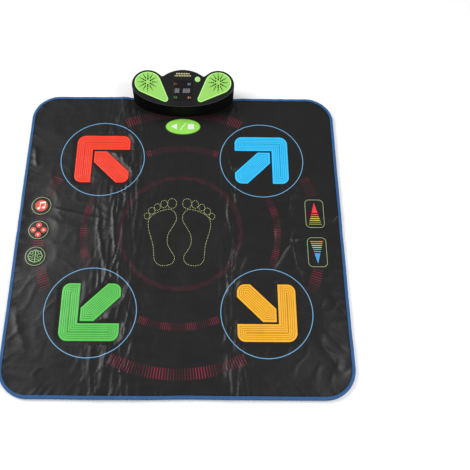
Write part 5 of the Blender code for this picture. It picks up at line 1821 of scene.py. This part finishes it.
class DANCEMAT_OT_battery_door(bpy.types.Operator):
    """Makes the battery door with its grip ribs and screw"""

    bl_idname = "dance_mat.battery_door"
    bl_label = "Battery door"

    def execute(self, context):
        look = context.scene.dance_console
        black = wall_finish(look)
        radius, angle = dome_arc(DOOR_HALF_WIDTH - PAD_GAP)
        centre = (0.0, CONSOLE_BACK_Y - radius)

        def curved_slab(reach, depth, proud, low, high):
            """A slab bent round the dome: its half angle, depth inwards and outwards, and heights."""
            chamfer = 0.4 * MM
            rings = []
            for z, pull in ((low, chamfer), (low + chamfer, 0.0), (high - chamfer, 0.0), (high, chamfer)):
                far, near = radius + proud - pull, radius - depth
                ring = arc(centre, (far, far), 90 - reach, 90 + reach, 28)
                ring += arc(centre, (near, near), 90 + reach, 90 - reach, 28)
                rings.append((ring, z))
            return prism(rings)

        door = solid("door_panel", *curved_slab(angle, WALL, 0.0, DOOR_Z[0] + PAD_GAP, DOOR_Z[1] - PAD_GAP))
        place = Matrix.Translation((0.0, CONSOLE_BACK_Y - 1.3 * MM, DOOR_SCREW_Z)) @ BACKWARDS
        carve(door, rod("screw_seat", circle(MIDDLE, SCREW_SEAT, 32), 0.0, 0.01, place),
              rod("screw_hole", circle(MIDDLE, SCREW_BORE, 24), -0.01, 0.01, place))
        settle(door, [black], "door", replaces="battery_door", sharp=30)
        lows = [GRIP_LOW + rib * GRIP_PITCH for rib in range(GRIP_RIBS)]
        ribs = [curved_slab(angle * 0.30, 0.3 * MM, 0.7 * MM, low, low + GRIP_RIB) for low in lows]
        make("door_grip", *joined(ribs), [black], "door", slot="console_black", sharp=30)
        self.screw(place)
        return {"FINISHED"}

    def screw(self, place):
        """A cross-head screw in the door, with its shank."""
        steel = finish("zinc_steel", (0.62, 0.63, 0.65), 0.32, metallic=1.0, scuff=0.12, scuff_size=0.004)
        arm, half = 1.7 * MM, 0.42 * MM
        cross_shape = [(half, half), (half, arm), (-half, arm), (-half, half), (-arm, half), (-arm, -half),
                       (-half, -half), (-half, -arm), (half, -arm), (half, -half), (arm, -half), (arm, half)]
        shapes = [(circle(MIDDLE, SCREW_HEAD - d * MM, 40), BARE) for d in (0.15, 0.4, 0.8)]
        steps = np.array([0.0, 0.15, 0.4, 0.8, 2.8]) * MM
        heights = np.array([0.45, 0.8, 1.0, 1.15, 1.3]) * MM
        head = plate(circle(MIDDLE, SCREW_HEAD, 40), shapes + [(cross_shape, HOLE)],
                     lambda x, y: np.interp(SCREW_HEAD - np.hypot(x, y), steps, heights), 0.35 * MM)
        shank = circle(MIDDLE, SCREW_SHANK, 24)
        under = scaled(shank, 2.4)
        stem = prism([(shank, -9.0 * MM), (shank, -0.3 * MM), (under, 0.05 * MM), (under, 0.4 * MM)])
        faces = [tuple(t) for t in head.tops] + head.others
        make("door_screw", *joined([([tuple(p) for p in head.points], faces), stem]), [steel], "door",
             slot="steel", replaces="battery_door_screw", sharp=30, place=place)


# The steps of the points along a flat layer's edge
EDGE_STEP = 12 * MM

# The backing's raised dots: how far apart they are, their height, and their radius at the floor and above
DOT_PITCH = 14 * MM
DOT_HEIGHT = 0.4 * MM
DOT_RADII = (1.8 * MM, 2.6 * MM)


def plate_pocket():
    """The opening for the plate that holds the console."""
    return rectangle(MOUNTING_PLATE[0], [half + PAD_GAP for half in MOUNTING_PLATE[1]], PLATE_CORNER, 4)


class DANCEMAT_OT_inner_layers(bpy.types.Operator):
    """Makes the padding, the two contact films with their spacer, and the cover foam round the pads"""

    bl_idname = "dance_mat.inner_layers"
    bl_label = "Inner layers"

    def execute(self, context):
        foam = finish("soft_foam", shade(132, 132, 134), 0.9, drift=0.12, drift_size=0.01, grain=0.7 * MM,
                      relief=0.2 * MM, gloss=0.2)
        film = finish("polyester_film", shade(196, 199, 202), 0.22, drift=0.04, scuff=0.12, grain=3 * MM,
                      relief=0.03 * MM)
        carbon = finish("carbon_ink", shade(38, 38, 40), 0.55, drift_size=0.004, grain=0.3 * MM,
                        relief=0.02 * MM)
        holes = screw_holes()
        wells = [small_pad(name, WELL_GAP) for name in SMALL_PADS]
        wells += [rectangle(centre, [ARROW_HALF + PAD_GAP] * 2, LIGHT_PANEL_CORNER + PAD_GAP, 10)
                  for centre, _, _ in ARROWS.values()]
        soft, clear = (foam, "grey_foam"), (film, "clear_film")
        self.layer("padding_layer", "padding_foam", PADDING_Z, [plate_pocket()], soft, "backing_sheet")
        printed = self.layer("lower_film", "lower_contact_film", LOWER_FILM_Z, holes, clear, "padding_layer",
                             prints=self.contacts(CONTACT_RADIUS - 1.5 * MM))
        self.layer("spacer_layer", "spacer_sheet", SPACER_Z, holes + self.contacts(CONTACT_RADIUS), soft,
                   "lower_film")
        self.layer("upper_film", "upper_contact_film", UPPER_FILM_Z, holes, clear, "spacer_layer")
        self.layer("cover_layer", "cover_foam", COVER_Z, holes + wells + [ribbon_slot()], soft, "upper_film")
        make_print("contact_prints", printed, (0,), 0.03 * MM, [carbon], "mat", "clear_film")
        return {"FINISHED"}

    def contacts(self, radius):
        """The round places under the pads where the two films meet."""
        places = [(centre[0] + side * x, centre[1] + end * y)
                  for centre, side, end in ARROWS.values() for x, y in ARROW_CONTACTS]
        places += [centre for centre, _, _ in SMALL_PADS.values()]
        return [circle(place, radius, 24) for place in places]

    def layer(self, name, node, heights, holes, material, below, prints=()):
        """One flat layer with its holes. Its argument below, the layer under it, is not used."""
        surface, slot = material
        outline = evenly(mat_outline(LAYER_INSET), EDGE_STEP)
        shapes = [(loop, HOLE) for loop in holes] + [(loop, 0) for loop in prints]
        made = plate(outline, shapes, lambda x, y: heights[1], heights[0],
                     spacing=40 * MM)
        piece = make_plate(name, made, [surface], "mat", slot=slot, replaces=node)
        return made


class DANCEMAT_OT_backing(bpy.types.Operator):
    """Makes the anti-slip backing with its raised dots"""

    bl_idname = "dance_mat.backing"
    bl_label = "Anti-slip backing"

    def execute(self, context):
        rubber = finish("dotted_rubber", shade(52, 52, 54), 0.75, scuff=0.10, grain=0.7 * MM,
                        relief=0.05 * MM, gloss=0.35)
        outline = evenly(mat_outline(BACKING_INSET), EDGE_STEP)
        made = plate(outline, [(plate_pocket(), HOLE)], lambda x, y: BACKING_TOP,
                     DOT_HEIGHT, spacing=30 * MM)
        sheet = make_plate("backing_sheet", made, [rubber], "mat", slot="backing_mesh",
                           replaces="anti_slip_backing")
        reach = MAT_WIDTH / 2 - 20 * MM
        steps = np.arange(-reach, reach + 0.1 * MM, DOT_PITCH)
        x, y = (grid.ravel() for grid in np.meshgrid(steps, steps))
        x = x + DOT_PITCH / 2 * (np.round(y / DOT_PITCH) % 2)
        bare = rectangle(MOUNTING_PLATE[0], [h + 4 * MM for h in MOUNTING_PLATE[1]])
        keep = (edge_reach(x, y)[0] > BACKING_INSET + 5 * MM) & ~within(bare, x, y)
        dots = [prism([(circle(place, DOT_RADII[0], 8), 0.0),
                       (circle(place, DOT_RADII[1], 8), DOT_HEIGHT + 0.05 * MM)])
                for place in zip(x[keep], y[keep])]
        dots = make("backing_dots", *joined(dots), [rubber], "mat", slot="backing_mesh")
        return {"FINISHED"}


# The finish of each material slot of the CAD model, for the nodes that show as they are
SLOT_FINISHES = {
    "light_panel": dict(roughness=0.30, scuff=0.10),
    # The speakers are darker than the CAD model's colour: partly their own black, partly painted shade in the
    # grilles' holes
    "speaker_black": dict(colour=shade(14, 14, 15), roughness=0.6, grain=0.5 * MM, relief=0.05 * MM,
                          gloss=0.3),
    "console_black": dict(roughness=0.42, grain=0.5 * MM, relief=0.03 * MM),
    "board_green": dict(roughness=0.38, drift=0.18, drift_size=0.006),
    "steel": dict(roughness=0.34, metallic=1.0, scuff=0.14, scuff_size=0.01),
    "battery_jacket": dict(roughness=0.30, metallic=0.6, scuff=0.10),
    "rubber": dict(roughness=0.8, grain=0.5 * MM, relief=0.06 * MM, gloss=0.3),
    "film_tail": dict(roughness=0.28, scuff=0.10, drift=0.15, drift_size=0.004),
}


class DANCEMAT_OT_inner_parts(bpy.types.Operator):
    """Gives the CAD model's own inner pieces, feet and sockets their finishes"""

    bl_idname = "dance_mat.inner_parts"
    bl_label = "Inner parts"

    def execute(self, context):
        record = frame["record"]
        colours = {m["slot"]: m["base_color"] for m in record["materials"]}
        slots = {part["node"]: part["material_slot"] for part in record["subparts"]}
        for name, node in frame["nodes"].items():
            if node.hide_render:
                continue
            slot = slots[name]
            node.data.materials.clear()
            values = {"colour": tuple(colours[slot]), **SLOT_FINISHES[slot]}
            node.data.materials.append(finish("inner_" + slot, **values))
        return {"FINISHED"}


# The stage

FLOOR_HALF = 9.0
FLOOR_Z = -0.5 * MM

# Where each light stands and how wide it is
KEY_LIGHT = ((-2.15, 0.85, 2.15), 1.5)
FILL_LIGHT = ((1.6, -0.4, 1.8), 1.2)

# The camera that was fitted to the photograph: its place, its turn in degrees and its shift
CAMERA_PLACE = (0.06528, -0.66846, 1.56202)
CAMERA_TURN = (23.0872, -0.8605, 0.0877)
CAMERA_SHIFT = 0.05


class DANCEMAT_OT_stage(bpy.types.Operator):
    """Makes the floor, the lights and the camera"""

    bl_idname = "dance_mat.stage"
    bl_label = "Stage"

    def execute(self, context):
        stage = context.scene.dance_stage
        mesh = bpy.data.meshes.new("floor")
        corners = rectangle(MIDDLE, (FLOOR_HALF, FLOOR_HALF))
        mesh.from_pydata([(x, y, FLOOR_Z) for x, y in corners], [], [(0, 1, 2, 3)])
        floor = bpy.data.objects.new("floor", mesh)
        mesh.materials.append(finish("pale_floor", stage.floor, 0.7, drift=0.01, drift_size=0.5,
                                     scuff=0.02, gloss=0.2))
        context.scene.collection.objects.link(floor)

        world = bpy.data.worlds.new("soft_room")
        world.use_nodes = True
        around = world.node_tree.nodes["Background"].inputs
        around["Color"].default_value = (1.0, 1.0, 1.0, 1.0)
        around["Strength"].default_value = stage.room_light
        context.scene.world = world

        self.light("key_light", *KEY_LIGHT, stage.key_light)
        self.light("fill_light", *FILL_LIGHT, stage.fill_light)

        camera = bpy.data.cameras.new("camera")
        camera.sensor_width = 36.0
        camera.lens = stage.lens
        camera.shift_x = CAMERA_SHIFT
        holder = bpy.data.objects.new("camera", camera)
        holder.location = CAMERA_PLACE
        holder.rotation_euler = [math.radians(angle) for angle in CAMERA_TURN]
        context.scene.collection.objects.link(holder)
        context.scene.camera = holder
        context.scene.view_settings.view_transform = "Standard"
        return {"FINISHED"}

    def light(self, name, place, size, power):
        """A square soft light that faces the mat."""
        lamp = bpy.data.lights.new(name, "AREA")
        lamp.size = size
        lamp.energy = power
        holder = bpy.data.objects.new(name, lamp)
        holder.location = place
        holder.rotation_euler = (-Vector(place)).to_track_quat("-Z", "Y").to_euler()
        bpy.context.scene.collection.objects.link(holder)


class DANCEMAT_PT_pieces(bpy.types.Panel):
    """Lists the pieces of the dance mat in the sidebar"""

    bl_idname = "DANCEMAT_PT_pieces"
    bl_label = "Dance mat"
    bl_space_type = "VIEW_3D"
    bl_region_type = "UI"
    bl_category = "Dance mat"

    def draw(self, context):
        for operator in OPERATORS:
            self.layout.operator(operator.bl_idname)
        for name in SETTINGS:
            group = getattr(context.scene, name)
            box = self.layout.box()
            for setting in group.bl_rna.properties.keys():
                if setting not in ("rna_type", "name"):
                    box.prop(group, setting)


OPERATORS = (DANCEMAT_OT_top_sheet, DANCEMAT_OT_edge_binding, DANCEMAT_OT_inner_layers, DANCEMAT_OT_backing,
             DANCEMAT_OT_arrow_pads, DANCEMAT_OT_small_pads, DANCEMAT_OT_housing, DANCEMAT_OT_grilles,
             DANCEMAT_OT_display, DANCEMAT_OT_power_button, DANCEMAT_OT_battery_door,
             DANCEMAT_OT_inner_parts, DANCEMAT_OT_stage)
SETTINGS = {"dance_mat": MatSettings, "dance_pads": PadSettings, "dance_console": ConsoleSettings,
            "dance_stage": StageSettings}
CLASSES = (*SETTINGS.values(), *OPERATORS, DANCEMAT_PT_pieces)


def register():
    for one in CLASSES:
        bpy.utils.register_class(one)
    for name, group in SETTINGS.items():
        setattr(bpy.types.Scene, name, PointerProperty(type=group))


def unregister():
    for name in SETTINGS:
        delattr(bpy.types.Scene, name)
    for one in reversed(CLASSES):
        bpy.utils.unregister_class(one)


def main():
    """Makes every piece in order."""
    register()
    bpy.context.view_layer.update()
    bpy.ops.dance_mat.top_sheet()
    bpy.ops.dance_mat.edge_binding()
    bpy.ops.dance_mat.inner_layers()
    bpy.ops.dance_mat.backing()
    bpy.ops.dance_mat.arrow_pads()
    bpy.ops.dance_mat.small_pads()
    bpy.ops.dance_mat.housing()
    bpy.ops.dance_mat.grilles()
    bpy.ops.dance_mat.display()
    bpy.ops.dance_mat.power_button()
    bpy.ops.dance_mat.battery_door()
    bpy.ops.dance_mat.inner_parts()
    bpy.ops.dance_mat.stage()


if __name__ == "__main__":
    main()
